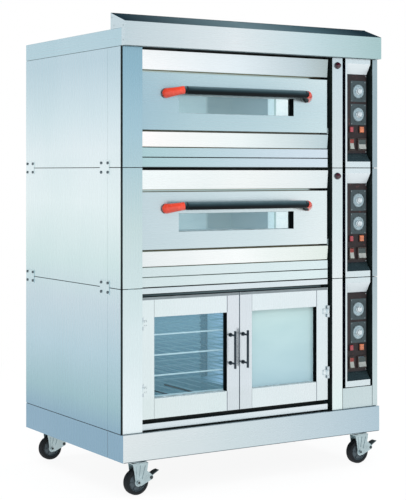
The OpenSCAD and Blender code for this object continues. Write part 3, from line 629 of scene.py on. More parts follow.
def dress_inside():
    # These sheets glow with painted light; their tones are painted light and shade, the proofer
    # wall has a paler right end of painted light, and the far wires carry the painted shadow of
    # the right upright.
    front, back = (corner.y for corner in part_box("baking_chambers"))
    wall = lit_liner("chamber_wall", [
        (0.0, (250, 255, 255)), (0.455, (248, 255, 255)), (0.462, (160, 184, 184)),
        (0.475, (160, 184, 184)), (0.482, (212, 234, 238)), (0.545, (208, 230, 236)),
        (0.555, (126, 149, 158)), (1.0, (120, 144, 151))], front, back, "Y", 0.75)
    rear = lit_liner("chamber_rear", [
        (0.0, (170, 194, 198)), (0.84, (164, 188, 194)), (0.86, (122, 145, 151)),
        (1.0, (122, 145, 151))], across(110), across(970), "X", 0.75)
    flange = lit_liner("mouth_flange", gap_tones((162, 177, 176), (152, 167, 165)),
                       *SPAN["X"], "X", 0.7)

    def chamber_slot(center, normal):
        """Side walls, rear wall and the flange round the mouth."""
        if center.y < deep(FLANGE_D):
            return 2
        return int(center.y > deep(CHAMBER_REAR_D))

    dress("baking_chambers", wall, rear, flange, rule=chamber_slot)
    dress("hearth_plates", lit_liner("hearth_iron", [
        (0.0, (84, 88, 90)), (0.45, (92, 102, 106)), (0.6, (124, 144, 151)),
        (1.0, (124, 144, 151))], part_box("hearth_plates")[0].y, back, "Y", 0.7), bevel=0.001)
    dress("heating_elements", plain_metal("element_sheath", (78, 66, 60), (0.35, 0.6), 0.7, 25.0,
                                          (120, 100, 110)))
    dress("insulation", wool("mineral_wool", (206, 186, 140)))
    dress("proofer_liner", lit_liner("proofer_wall", [
        (0.0, (84, 122, 136)), (0.3, (94, 132, 146)), (0.6, (122, 158, 172)),
        (1.0, (144, 184, 196))], *PROOFER_RISE, "Z", 0.6,
        tint=(across(860), across(975), (158, 192, 212))))
    near = lit_liner("near_wire", evenly((196, 226, 234), (206, 232, 240)), *PROOFER_RISE, "Z",
                     0.4)
    sight_slope = 0.626
    post_line = across(UPRIGHTS_S[1]) - sight_slope * deep(791)
    shadow = (sight_slope, post_line - 18 * MM, post_line + 18 * MM, (80, 112, 124))
    far = lit_liner("far_wire", evenly((104, 140, 152), (140, 178, 192)), *PROOFER_RISE, "Z",
                    0.5, shadow=shadow)
    dress("proofer_shelves", far, near, rule=lambda c, n: int(c.y < deep(SHELF_END_D)))


# Tones from a grip's underside to its top: painted light from above.
GRIP_STEPS = [(0.0, (2, 8, 12)), (0.35, (6, 16, 20)), (0.6, (34, 52, 58)), (0.85, (70, 90, 96)),
              (1.0, (100, 118, 124))]


def window_test(node):
    """Test whether a point lies inside the outline of a pane, seen from the front."""
    low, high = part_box(node)

    def inside(point):
        return (low.x - WINDOW_MARGIN < point.x < high.x + WINDOW_MARGIN
                and low.z - WINDOW_MARGIN < point.z < high.z + WINDOW_MARGIN)
    return inside


def dress_doors():
    # Tones along each door are painted reflections; the lift up the upper door is painted light,
    # paler at its top.
    tones = {"upper": [(0.0, (166, 195, 206)), (0.25, (182, 207, 214)),
                       (0.6, (190, 213, 219)), (1.0, (208, 226, 229))],
             "lower": [(0.0, (196, 213, 218)), (0.3, (206, 221, 225)),
                       (0.6, (214, 228, 231)), (1.0, (230, 239, 239))]}
    lift = {"upper": [(0.0, (1.02, 1.02, 1.01)), (0.5, (1.0, 1.0, 1.0)),
                      (0.95, (1.1, 1.06, 1.04))],
            "lower": evenly((1.01, 1.01, 1.01), (1.01, 1.01, 1.01))}
    # Near black that stands in for shade on the windows' right reveals and the leaves' top faces.
    reveal = plain_metal("painted_shade_reveal", (6, 12, 14), (0.6, 0.8), 0.05, specular=0.05)
    edge = steel("door_edge_steel", evenly((176, 190, 190), (196, 210, 214)), "X", metallic=0.2)
    clear = glass("oven_glass", (150, 172, 174), 0.16, 0.8, 1.72, (140, 162, 166))
    grip = grip_plastic("grip_plastic", GRIP_STEPS)
    gap = gap_steel()
    for deck in DOORS:
        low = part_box(f"{deck}_door_shell")[0]
        in_window = window_test(f"{deck}_door_glass")

        def shell_slot(center, normal, low=low, in_window=in_window):
            """Sheet, the window's right reveal in painted shade and other edges, and the door's
            top face in painted light and shade.
            """
            if in_window(center):
                if normal.x < -0.5:
                    return 1
                if center.y > low.y + 1 * MM:
                    return 2
            return 3 if normal.z > FACING and center.z > low.z + 0.2 else 0

        sheet_metal = steel(f"{deck}_door_steel", tones[deck], "X",
                            rise=(low.z, low.z + DECK_DOOR_TALL, lift[deck]))
        dress(f"{deck}_door_shell", sheet_metal, reveal, edge, gap, rule=shell_slot,
              bevel=0.0007)
        dress(f"{deck}_door_glass", clear)
        dress(f"{deck}_handle_bar", grip, bevel=0.001)
    # The leaf's tones along its width are painted reflections.
    leaf = steel("leaf_steel", [
        (0.06, (224, 235, 236)), (0.438, (226, 237, 239)), (0.442, (219, 226, 231)),
        (0.572, (219, 227, 232)), (0.578, (228, 238, 241)), (0.934, (228, 237, 240)),
        (0.938, (226, 236, 239)), (1.0, (227, 237, 240))], "X", grain="Z",
        rise=(*PANE_RISE, [(0.0, (0.95, 0.96, 0.95)), (0.1, (1.0, 1.0, 1.0))]))
    sill = steel("leaf_sill_steel", evenly((196, 208, 210), (196, 208, 210)), "X", metallic=0.2)
    bar = plain_metal("bar_metal", (62, 74, 82), (0.22, 0.35), 0.9, 40.0)
    # The right pane is nearly opaque and pale, a painted reflection, where the left one is clear.
    panes = {"left": glass("left_pane", (132, 172, 186), 0.14, *PANE_RISE, (96, 132, 144)),
             "right": glass("right_pane", (190, 218, 217), 0.92, *PANE_RISE, (163, 196, 206))}
    for side in SIDES:
        in_window = window_test(f"{side}_proofer_glass")

        def leaf_slot(center, normal, in_window=in_window):
            """Sheet, right reveal and top face in painted shade, and the sill below the pane."""
            up = normal.z > FACING
            if in_window(center):
                if up:
                    return 2
                if normal.x < -0.5:
                    return 1
            return int(up and center.z > 758 * MM)

        dress(f"{side}_proofer_door", leaf, reveal, sill, rule=leaf_slot, bevel=0.0006)
        dress(f"{side}_proofer_glass", panes[side])
        dress(f"{side}_proofer_handle", bar, bevel=0.0006)


def dress_casters():
    zinc = plain_metal("fork_zinc", (190, 210, 214), (0.25, 0.4), 0.85, 30.0)
    tyre = rubber("tyre_rubber", (20, 26, 30))
    for row, side, s, d in CASTERS:
        dress(f"{row}_{side}_fork", zinc, bevel=0.0008)
        dress(f"{row}_{side}_wheel", tyre, bevel=0.001)
    for side in SIDES:
        dress(f"front_{side}_pedal", plain_metal("pedal_paint", (118, 130, 130), (0.35, 0.55),
                                                 0.4, 30.0, (70, 80, 80)), bevel=0.001)


def dress_small_parts():
    knob = plain_metal("knob_metal", (206, 222, 226), (0.18, 0.3), 0.8, 60.0)
    cream = plastic("cream_plastic", (196, 190, 172))
    dark = plastic("dark_switch_plastic", (40, 50, 48))
    for module in MODULES:
        for dial in DIALS:
            dress(f"{module}_{dial}_knob", knob, bevel=0.001)
        dress(f"{module}_lamp_switch", cream, bevel=0.001)
        dress(f"{module}_power_switch", dark, bevel=0.001)
    dress("indicator_lenses", lens_plastic("red_lens_plastic", (170, 30, 60), 0.2),
          bevel=0.0008)
    handle_red = plastic("handle_red_plastic", (228, 66, 44), (0.22, 0.35), coat=0.4)
    for deck in DOORS:
        dress(f"{deck}_handle_ends", handle_red, bevel=0.001)


# ---------------------------------------------------------------- piece builder
AXES = {"X": (Vector((1, 0, 0)), Vector((0, 1, 0)), Vector((0, 0, 1))),
        "Y": (Vector((0, 1, 0)), Vector((1, 0, 0)), Vector((0, 0, 1))),
        "Z": (Vector((0, 0, 1)), Vector((1, 0, 0)), Vector((0, 1, 0)))}
DEPTH = Vector((0, 1, 0))


class Piece:
    """A mesh under construction in shared coordinates; section sizes are in mm."""

    def __init__(self, name, *materials):
        self.name = name
        self.materials = materials
        self.mesh = bmesh.new()

    def join_rings(self, rings, slot, closed_path=False):
        pairs = list(zip(rings, rings[1:]))
        if closed_path:
            pairs.append((rings[-1], rings[0]))
        for first, second in pairs:
            count = max(len(first), len(second))
            for i in range(count):
                j = (i + 1) % count
                if len(first) == 1:
                    corners = [first[0], second[j], second[i]]
                elif len(second) == 1:
                    corners = [first[i], first[j], second[0]]
                else:
                    corners = [first[i], first[j], second[j], second[i]]
                self.mesh.faces.new(corners).material_index = slot

    def cap_ends(self, rings, slot):
        for ring in (rings[0], rings[-1]):
            self.mesh.faces.new(ring).material_index = slot

    def lathe(self, centre, axis, profile, slot=0, segments=40, flutes=None):
        """Turn (radius, along) points round an axis; flutes is (count, depth, inner radius) of
        grooves in what lies outside that radius."""
        along, side, up = AXES[axis]
        rings = []
        for radius, travel in profile:
            middle = centre + along * travel * MM
            if radius < 0.001:
                rings.append([self.mesh.verts.new(middle)])
                continue
            ring = []
            for i in range(segments):
                angle = 2 * math.pi * i / segments
                reach = radius
                if flutes and radius > flutes[2]:
                    reach -= flutes[1] * (0.5 - 0.5 * math.cos(flutes[0] * angle))
                ring.append(self.mesh.verts.new(
                    middle + (side * math.cos(angle) + up * math.sin(angle)) * reach * MM))
            rings.append(ring)
        self.join_rings(rings, slot)
        return self

    def sweep(self, points, section, slot=0, closed=False, flip=1, scales=None, facing=None):
        """Carry a closed section of (out, up) mm along points; up stays near facing."""
        rings = []
        count = len(points)
        for i, point in enumerate(points):
            before = points[(i - 1) % count] if closed or i > 0 else point
            after = points[(i + 1) % count] if closed or i < count - 1 else point
            ahead = (after - before).normalized()
            upright = Vector((0, 0, 1)) if abs(ahead.z) < 0.9 else DEPTH
            reference = facing or upright
            out = ahead.cross(reference).normalized() * flip
            up = reference if abs(ahead.dot(reference)) < 0.001 else \
                (reference - ahead * reference.dot(ahead)).normalized()
            scale = scales[i] if scales else 1.0
            rings.append([self.mesh.verts.new(point + (out * a + up * b) * scale * MM)
                          for a, b in section])
        self.join_rings(rings, slot, closed)
        if not closed:
            self.cap_ends(rings, slot)
        return self

    def prism(self, outline, near, far, slot=0):
        """Solid between the outline at near and the same outline moved to far (vectors)."""
        rings = [[self.mesh.verts.new(end + Vector(p)) for p in outline] for end in (near, far)]
        self.join_rings(rings, slot)
        self.cap_ends(rings, slot)
        return self

    def block(self, middle, size, slot=0, turn=0.0, taper=1.0):
        """Block of size (s, d, z) mm about a middle, turned about the d axis; its front face
        is narrowed by taper."""
        spin = Matrix.Rotation(turn, 4, "Y")
        rings = []
        for d, scale in ((-0.5, taper), (0.5, 1.0)):
            ring = [(-0.5, -0.5), (0.5, -0.5), (0.5, 0.5), (-0.5, 0.5)]
            rings.append([self.mesh.verts.new(middle + spin @ Vector(
                (a * size[0] * scale * MM, d * size[1] * MM, b * size[2] * scale * MM)))
                for a, b in ring])
        self.join_rings(rings, slot)
        self.cap_ends(rings, slot)
        return self

    def done(self, body="cabinet", replaces=(), bevel=0.0, sharp=38):
        """Make the object, with smooth faces and sharp edges, and hand it to its body."""
        bmesh.ops.recalc_face_normals(self.mesh, faces=self.mesh.faces)
        for face in self.mesh.faces:
            face.smooth = True
        for edge in self.mesh.edges:
            if edge.calc_face_angle(0.0) > math.radians(sharp):
                edge.smooth = False
        data = bpy.data.meshes.new(self.name)
        self.mesh.to_mesh(data)
        self.mesh.free()
        for material in self.materials:
            data.materials.append(material)
        obj = put(self.name, data)
        if bevel:
            soften(obj, bevel)
        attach(obj, body)
        if replaces:
            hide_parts(*replaces)
        return obj


def ellipse(a, b, count=16):
    return [(a * math.cos(2 * math.pi * i / count), b * math.sin(2 * math.pi * i / count))
            for i in range(count)]


def ring(inner, outer, near, far):
    """Closed lathe profile of a washer."""
    return [(inner, near), (outer, near), (outer, far), (inner, far), (inner, near)]


def rod(radius, end):
    """Lathe profile of a rod that reaches end mm to both sides."""
    return [(0, -end), (radius, -end), (radius, end), (0, end)]


def rim(piece, centre, width, height, bar, thick, slot, taper):
    """Four bars round an opening in a plate."""
    x, z = (width - bar) / 2, (height - bar) / 2
    for ds, dz, a, b in ((0, z, width, bar), (0, -z, width, bar),
                         (x, 0, bar, height - 2 * bar), (-x, 0, bar, height - 2 * bar)):
        piece.block(centre + shift(ds, 0, dz), (a, thick, b), slot, taper=taper)


def arc_shell(outer, inner, start, end, count=14):
    """Section of a curved shell between two angles in degrees."""
    angles = [math.radians(start + (end - start) * i / count) for i in range(count + 1)]
    shell = [(outer * math.cos(a), outer * math.sin(a)) for a in angles]
    return shell + [(inner * math.cos(a), inner * math.sin(a)) for a in reversed(angles)]


def curve_points(a, b, c, d, count=14):
    """Points of a cubic curve with end points a, d and pulls b, c."""
    points = []
    for i in range(count + 1):
        t = i / count
        points.append(a * (1 - t) ** 3 + b * 3 * t * (1 - t) ** 2
                      + c * 3 * t * t * (1 - t) + d * t ** 3)
    return points


def loop_points(s0, s1, d, z0, z1, radius, count=6):
    """Rounded rectangle in the plane at depth d."""
    points = []
    for s, z, start in ((s1 - radius, z1 - radius, 0), (s0 + radius, z1 - radius, 90),
                        (s0 + radius, z0 + radius, 180), (s1 - radius, z0 + radius, 270)):
        for i in range(count + 1):
            angle = math.radians(start + 90 * i / count)
            points.append(at(s + radius * math.cos(angle), d, z + radius * math.sin(angle)))
    return points


def screw(piece, place, radius, head, recess, out=-1):
    """Pan head screw with a cross recess; out is the way its head points."""
    tall = radius * 0.55 * out
    piece.lathe(place, "Y", [(radius, 0), (radius * 0.94, tall * 0.5),
                             (radius * 0.62, tall * 0.9), (0, tall)], head, 20)
    for turn in (0.785, 2.356):
        piece.block(place + shift(0, tall * 0.97, 0), (radius * 1.1, 0.3, radius * 0.28),
                    recess, turn)


def screws(piece, columns, d, rows, radius, head, recess, out=-1):
    for s in columns:
        for z in rows:
            screw(piece, at(s, d, z), radius, head, recess, out)


# ---------------------------------------------------------------- detail pieces
def make_handle_ends():
    """Curved arm at each end of a handle bar: black inner half, red cover outside."""
    black = grip_plastic("arm_plastic", GRIP_STEPS)
    red = plastic("cover_plastic", (224, 66, 40), (0.2, 0.32), 600.0, 0.08, coat=0.5)
    growth = [1.0, 1.0] + [1.0 + 0.3 * (i / 14) ** 2 for i in range(15)]
    for deck, z in BAR_HEIGHTS.items():
        piece = Piece(f"{deck}_handle_arms", black, red)
        for s, side in BAR_ENDS:
            path = [at(s - side * 2, BAR_D, z), at(s + side * 6, BAR_D, z)]
            path += curve_points(at(s + side * 12, BAR_D, z), at(s + side * 22, -46, z - 1),
                                 at(s + side * 45, -18, z - 8), at(s + side * 57, 12, z - 11))
            piece.sweep(path, ellipse(13.6, 14.2, 24), 0, flip=side, scales=growth)
            piece.sweep(path[2:], arc_shell(15.3, 13.2, -84, 118), 1, flip=side,
                        scales=growth[2:])
            foot = at(s + side * 55, 12.6, z - 11)
            made = len(piece.mesh.faces)
            piece.lathe(foot, "Y", [(0, -1.4), (17.2, -1.4), (18.4, 0.2), (18.4, 2.2),
                                    (0, 2.2)])
            for face in list(piece.mesh.faces)[made:]:
                if (face.calc_center_median().x - foot.x) * side > 2 * MM:
                    face.material_index = 1
        piece.done(f"{deck}_deck_door", (f"{deck}_handle_ends",))
        collars = Piece(f"{deck}_handle_collars",
                        plain_metal("collar_metal", (30, 40, 44), (0.4, 0.5), 0.6))
        for s in (258.2, 823.8):
            collars.lathe(at(s, BAR_D, z), "X",
                          [(13.8, -2), (15.3, -1.4), (15.3, 1.4), (13.8, 2), (13.8, -2)])
        collars.done(f"{deck}_deck_door")


def dial_heights():
    return [(f"{module}_{dial}", top - drop) for module, top in MODULE_TOPS.items()
            for dial, drop in DIAL_DROPS.items()]


def make_knobs(metal, dark):
    for dial, z in dial_heights():
        centre = at(DIAL_S, PLATE_D, z)
        piece = Piece(f"{dial}_knob_turned", metal, dark)
        piece.lathe(centre, "Y", [(0, -3.4), (13.6, -3.4), (14.0, -3.9), (14.0, -5.3),
                                  (13.2, -5.9), (11.6, -6.3), (11.6, -6.7)], 0, 48)
        piece.lathe(centre, "Y", [(11.8, -6.3), (11.8, -12.5), (10.6, -13.9), (0, -14.3)], 0,
                    96, (24, 0.7, 11.0))
        piece.block(centre + shift(0, -15.5, 0), (5.4, 3.4, 24.6), taper=0.8)
        piece.block(centre + shift(0, -17.3, 8.4), (0.9, 0.4, 5), 1)
        piece.lathe(centre, "Y", [(3, -3.5), (3, 31), (0, 31)], 0, 24)
        piece.done(f"{dial}_knob_body", (f"{dial}_knob",), bevel=0.0004)


def around_dial(z, degrees, radius, d):
    angle = math.radians(degrees)
    return at(DIAL_S + radius * math.sin(angle), d, z + radius * math.cos(angle))


def make_dial_marks(metal, dark):
    """Scale ticks and a fine ring round each dial, digits, and the plate's screws."""
    marks = Piece("dial_marks", dark, metal)
    digits = Piece("dial_digits", dark)
    for _, z in dial_heights():
        for i in range(31):
            degrees = -150 + 10 * i
            reach, wide, tall = (21.6, 0.4, 2.6) if i % 5 else (20.5, 0.7, 4.6)
            marks.block(around_dial(z, degrees, reach, PLATE_D - 3.1), (wide, 0.3, tall), 0,
                        math.radians(degrees))
        marks.lathe(at(DIAL_S, PLATE_D - 3, z), "Y", ring(27.2, 28.0, -0.25, 0.2), 0, 64)
        screws(marks, (DIAL_S - 36, DIAL_S + 36), PLATE_D - 1.5, (z - 39, z + 39), 2.6, 1, 0)
        for i in range(7):
            write_digit(digits, str(i), around_dial(z, -150 + 50 * i, 34, PLATE_D - 1.6), 5.5)
    marks.done()
    digits.done()


SEGMENTS = {"0": "abcdef", "1": "bc", "2": "abged", "3": "abgcd", "4": "fgbc", "5": "afgcd",
            "6": "afgedc"}


def write_digit(piece, digit, place, height):
    """Seven-bar digit standing on a dial's square plate."""
    w = height * 0.25
    h = height * 0.5
    bars = {"a": (0, h, 1), "g": (0, 0, 1), "d": (0, -h, 1), "b": (w, h / 2, 0),
            "c": (w, -h / 2, 0), "e": (-w, -h / 2, 0), "f": (-w, h / 2, 0)}
    for name in SEGMENTS[digit]:
        s, z, flat = bars[name]
        size = (2 * w + 0.7, 0.25, 0.7) if flat else (0.7, 0.25, h + 0.7)
        piece.block(place + shift(s, 0, z), size)


def make_lenses():
    red = lens_plastic("indicator_red_plastic", (166, 58, 68), 0.12)
    dome = lens_plastic("pilot_lens_plastic", (64, 2, 28), 0.02)
    amber = lens_plastic("indicator_amber_plastic", (206, 118, 78), 0.12)
    bezel = plain_metal("bezel_metal", (96, 100, 106), (0.3, 0.45))
    frame_dark = plastic("bezel_plastic", (30, 24, 26))
    domes = Piece("pilot_lamps", dome, bezel)
    for deck in DOORS:
        centre = at(1026.5, 0, MODULE_TOPS[deck] - 34)
        domes.lathe(centre, "Y", [(12.0, -0.1), (14.5, -0.1), (14.5, -2.2), (13.4, -3.4),
                                  (11.6, -3.4), (11.6, -0.1)], 1, 48)
        domes.lathe(centre, "Y", [(11.4, -3), (11.4, -7), (10.7, -11), (8.6, -14.5), (5.2, -17),
                                  (0, -18)], 0, 48)
    lenses = Piece("indicator_caps", red, amber, frame_dark)
    for top in MODULE_TOPS.values():
        for s, w, h, slot in ((ITEM_S["lamp"], 22, 28, 0), (ITEM_S["power"], 26, 31, 1)):
            centre = at(s, PLATE_D, top - INDICATOR_DROP)
            rim(lenses, centre + shift(0, -2.1, 0), w, h, 2, 4.2, 2, 0.97)
            lenses.block(centre + shift(0, -3.7, 0), (w - 4.2, 7.4, h - 4.2), slot, taper=0.86)
            for k in range(4):
                lenses.block(centre + shift(0, -7.5, (k - 1.5) * 5), (w - 7.5, 0.8, 2.2), slot,
                             taper=0.9)
    domes.done(bevel=0.0003)
    lenses.done("cabinet", ("indicator_lenses",), bevel=0.0004)


def rocker_outline(half, tilt):
    """Side view (d, z) of a rocker with a hollowed face, leaning by its tilt."""
    outline = [(4.0, -half), (4.0, half), (-4.6, half)]
    for i in range(11):
        z = half - 2 * half * i / 10
        outline.append((-6.0 + 2.4 * (1 - (z / half) ** 2) - 0.6 * abs(z / half), z))
    outline.append((-4.6, -half))
    c, s = math.cos(tilt), math.sin(tilt)
    return [shift(0, d * c - z * s, d * s + z * c) for d, z in outline]


def make_switches():
    """Rocker and rim of each switch; the upper part of a rocker's face has a second tone."""
    cream = plastic("lamp_rocker_plastic", (166, 170, 164), coat=0.2)
    red = plastic("rocker_red_plastic", (134, 46, 40), coat=0.2)
    dark = plastic("power_rocker_plastic", (52, 66, 66), coat=0.2)
    grey = plastic("rocker_grey_plastic", (160, 164, 160), coat=0.2)
    frame_tone = plastic("rocker_frame_plastic", (66, 56, 52))
    for module, top in MODULE_TOPS.items():
        z = top - SWITCH_DROP
        for kind, w, h, first, second, share in (("lamp", 26, 52, cream, red, 0.3),
                                                 ("power", 44, 51, grey, dark, 0.08)):
            s = ITEM_S[kind]
            half_w = w / 2 - 3.6
            half_h = h / 2 - 5.4
            centre = at(s, PLATE_D - 4.5, z)
            piece = Piece(f"{module}_{kind}_rocker", first, second)
            piece.prism(rocker_outline(half_h, math.radians(-8)), centre + shift(-half_w, 0, 0),
                        centre + shift(half_w, 0, 0))
            for face in piece.mesh.faces:
                middle = face.calc_center_median() - centre
                if middle.z > share * half_h * MM and middle.y < 0 and len(face.verts) == 4:
                    face.material_index = 1
            for along in (-1, 1):
                piece.lathe(centre, "X", [(1.4, along * half_w), (1.4, along * (half_w + 2.2)),
                                          (0, along * (half_w + 2.2))], 0, 16)
            piece.done(f"{module}_{kind}_switch_body", (f"{module}_{kind}_switch",),
                       bevel=0.0004, sharp=30)
            frame_piece = Piece(f"{module}_{kind}_rim", frame_tone)
            rim(frame_piece, at(s, PLATE_D - 6.9, z), w, h, 3, 1.2, 0, 0.93)
            frame_piece.done(bevel=0.0003)


def make_wheels():
    tyre = rubber("wheel_rubber", (16, 20, 23))
    hub = plain_metal("hub_grey", (84, 96, 102), (0.35, 0.55), 0.5, 45.0)
    zinc = plain_metal("bearing_zinc", (176, 186, 188), (0.2, 0.35), 0.9, 60.0)
    shoulder = [(36.5, -15.6), (44, -15.8), (47.4, -14.4), (49.3, -11), (49.9, -7)]
    tread = list(shoulder)
    for groove in (-6, 0, 6):
        tread += [(49.95, groove - 1.6), (48.9, groove - 0.9), (48.9, groove + 0.9),
                  (49.95, groove + 1.6)]
    tread += [(r, -y) for r, y in reversed(shoulder)]
    tread += [(35.5, 12), (35.5, -12), shoulder[0]]
    web = [(5.2, -17.6), (8.6, -17.6), (11.5, -16.8), (12, -12.5), (16, -10.5),
           (30, -8.6), (33.4, -11.5), (35.8, -13.2)]
    for row, side, s, d in CASTERS:
        centre = at(s + AXLE_SHIFT, d, AXLE_Z)
        wheel = Piece(f"{row}_{side}_tyre", tyre, hub, zinc)
        wheel.lathe(centre, "Y", tread, 0, 64)
        wheel.lathe(centre, "Y", web + [(r, -y) for r, y in reversed(web)] + web[:1], 1, 48)
        for face in (-1, 1):
            for i in range(6):
                angle = math.pi * i / 3
                spoke = centre + shift(23 * math.cos(angle), face * 10.2, 23 * math.sin(angle))
                wheel.block(spoke, (2.4, 4.0, 13.5), 1, math.pi / 2 - angle)
            wheel.lathe(centre, "Y", ring(5.2, 9.4, face * 17.7, face * 18.3), 2, 32)
        wheel.done(f"{row}_{side}_roller", (f"{row}_{side}_wheel",))


def make_casters():
    """Swivel race, dust cover, fork ribs, axle nut and the pedals of the front casters."""
    zinc = plain_metal("race_zinc", (188, 204, 208), (0.22, 0.38), 0.9, 40.0)
    dark = plain_metal("bolt_dark", (74, 82, 84), (0.3, 0.5), 0.8, 60.0)
    for row, side, s, d in CASTERS:
        race = Piece(f"{row}_{side}_race", zinc, dark)
        pivot = at(s, d, 0)
        race.lathe(pivot, "Z", [(26.2, 124.2), (31, 124.2), (33.5, 126), (33.5, 129),
                                (29, 132.5), (26.2, 132.8), (26.2, 124.2)], 0, 48)
        race.lathe(pivot, "Z", ring(28.4, 30.6, 133.4, 134.6), 1, 48)
        race.done()
        fork = Piece(f"{row}_{side}_fork_details", zinc, dark)
        axle = pivot + shift(AXLE_SHIFT, 0, AXLE_Z)
        pedal_pin = pivot + shift(PEDAL_PIVOT[0], 0, PEDAL_PIVOT[1])
        for face in (-1, 1):
            for top, foot in (((-20, 112), (-17, 62)), ((20, 112), (6, 62)),
                              ((0, 114), (-8, 70))):
                start, end = (pivot + shift(a, face * 22.0, z) for a, z in (top, foot))
                fork.sweep([start, (start + end) / 2, end], ellipse(1.1, 2.2, 10))
            fork.lathe(axle, "Y", ring(8.2, 11, face * 21.9, face * 22.8), 0, 32)
            fork.lathe(axle, "Y", [(5, face * 26.8), (4.6, face * 28.4), (3.6, face * 29),
                                   (0, face * 29)], 1, 24)
            fork.lathe(pedal_pin, "Y", [(4.5, face * 22.1), (6.8, face * 22.1),
                                        (6.2, face * 23.4), (0, face * 23.9)], 1, 24)
        fork.done(f"{row}_{side}_swivel")
    make_pedals()


def make_pedals():
    """Tongue with tread bars, its pin and the brake block under it."""
    paint = plain_metal("pedal_paint_worn", (104, 120, 124), (0.35, 0.55), 0.6, 40.0,
                        (150, 160, 160))
    worn = plain_metal("pedal_tip", (70, 58, 46), (0.4, 0.6), 0.6, 60.0, (140, 140, 134))
    slope = math.radians(30)
    ahead = Vector((math.cos(slope), 0, math.sin(slope)))
    lift = Vector((-math.sin(slope), 0, math.cos(slope)))
    half = 17.6
    tongue = [(-half, -1.6), (half, -1.6), (half, 0.6), (half - 2, 1.7), (0, 1.1),
              (2 - half, 1.7), (-half, 0.6)]
    for row, side, s, d in CASTERS:
        if row != "front":
            continue
        pedal = Piece(f"front_{side}_pedal_shaped", paint, worn)
        pivot = at(s + PEDAL_PIVOT[0], d, PEDAL_PIVOT[1])
        path = [pivot + ahead * a * MM + lift * b * MM
                for a, b in ((-2, 3.2), (8, 3.2), (18, 3.4), (28, 3.2), (37, 2.4), (44, 0.9))]
        pedal.sweep(path, tongue, scales=[1, 1, 1, 0.97, 0.9, 0.8])
        for a in (20, 26, 32, 38):
            middle = pivot + ahead * a * MM + lift * 4.9 * MM
            pedal.sweep([middle + shift(0, y, 0) for y in (-11, 0, 11)],
                        ellipse(1.2, 0.9, 8), 1)
        pedal.lathe(pivot, "Y", rod(4, 22), 1, 24)
        pedal.lathe(pivot, "Y", rod(6, 18.4), 0, 24)
        pedal.block(pivot + shift(3.5, 0, -8), (8, 18, 10))
        pedal.done(f"front_{side}_brake", (f"front_{side}_pedal",), bevel=0.0005)


def make_loop(name, body, materials, points, section, shade_from=None):
    """Seal or gasket along a loop; right of shade_from it lies in its frame's shadow."""
    piece = Piece(name, *materials)
    piece.sweep(points, section, closed=True, facing=DEPTH)
    if shade_from:
        for face in piece.mesh.faces:
            if face.calc_center_median().x > across(shade_from):
                face.material_index = 1
    piece.done(body)


def make_seals():
    """Braided seal at each chamber mouth, rubber bulb round the proofer opening, gaskets."""
    rope = wool("seal_rope", (190, 182, 164))
    for deck, z in DECK_BOTTOMS.items():
        make_loop(f"{deck}_mouth_seal", "cabinet", [rope],
                  loop_points(102, 978, 56.2, z + 143, z + 366, 12), ellipse(4.0, 0.75, 12))
    make_loop("proofer_seal", "cabinet", [rubber("seal_rubber", (54, 58, 60))],
              loop_points(104, 976, 47.3, 292.5, 757, 8), ellipse(3.2, 1.5, 12))
    gasket = [rubber("pane_gasket_rubber", (158, 172, 176)),
              rubber("pane_gasket_shade", (12, 18, 20))]
    for side, (s0, s1) in PANE_S.items():
        make_loop(f"{side}_pane_gasket", f"{side}_proofer_leaf", gasket,
                  loop_points(s0 + 1.3, s1 - 1.3, 36.2, 370.3, 680.7, 3), ellipse(1.2, 0.9, 8),
                  s1 - 3)
    for deck, z in DECK_BOTTOMS.items():
        make_loop(f"{deck}_pane_gasket", f"{deck}_deck_door", gasket,
                  loop_points(263.2, 810.8, 44.1, z + 213.2, z + 282.8, 3),
                  ellipse(1.1, 0.9, 8), 809)


def make_fasteners(metal, dark):
    """Screws of the control plates, hinge leaves and window frames."""
    soft = plain_metal("leaf_screw_steel", (186, 198, 203), (0.5, 0.65), 0.3, 60.0)
    plates = Piece("plate_screws", metal, dark)
    for top in MODULE_TOPS.values():
        screws(plates, (1084, 1197), PLATE_D - 0.1, (top - 72, top - 394), 2.6, 0, 1)
    plates.done()
    for side, columns in (("left", (107, 115)), ("right", (963, 971))):
        leaf = Piece(f"{side}_leaf_screws", soft)
        screws(leaf, columns, 11.7, (398, 412, 653, 667), 1.9, 0, 0)
        leaf.done(f"{side}_proofer_leaf")
    for deck, z in DECK_BOTTOMS.items():
        window = Piece(f"{deck}_window_screws", metal, dark)
        screws(window, (245, 420, 537, 654, 829), 55.1, (z + 198, z + 298), 3.2, 0, 1, 0.5)
        window.done(f"{deck}_deck_door")


def make_back(panel, metal, dark):
    """Pressed louvres and edge screws of the back panels, and a gland nut."""
    lip = [shift(0, d, z) for d, z in ((0, 0), (5.5, -1.5), (7.0, -8), (6.2, -8.4),
                                       (4.6, -2.4), (0, -9))]
    louvres = Piece("back_louvres", panel, dark)
    for top, rows in ((796, 7), (1258, 6), (1720, 6)):
        for s in (300, 940):
            for i in range(rows):
                z = top - 150 - i * 22
                louvres.prism(lip, at(s - 70, 859.9, z), at(s + 70, 859.9, z))
                louvres.block(at(s, 860.3, z - 9.5), (136, 0.5, 3.4), 1)
    louvres.done(bevel=0.0006)
    edge = Piece("back_screws", metal, dark)
    for bottom, top in ((246, 796), (796, 1258), (1258, 1720)):
        screws(edge, (16, 330, 620, 910, 1224), BACK_D, (bottom + 14, top - 14), 4.0, 0, 1, 1)
    edge.lathe(at(1090, 0, 366), "Y", [(9.2, 882.4), (11.5, 882.4), (14.5, 878), (14.5, 872)],
               0, 48, (16, 1.4, 14.0))
    edge.done()


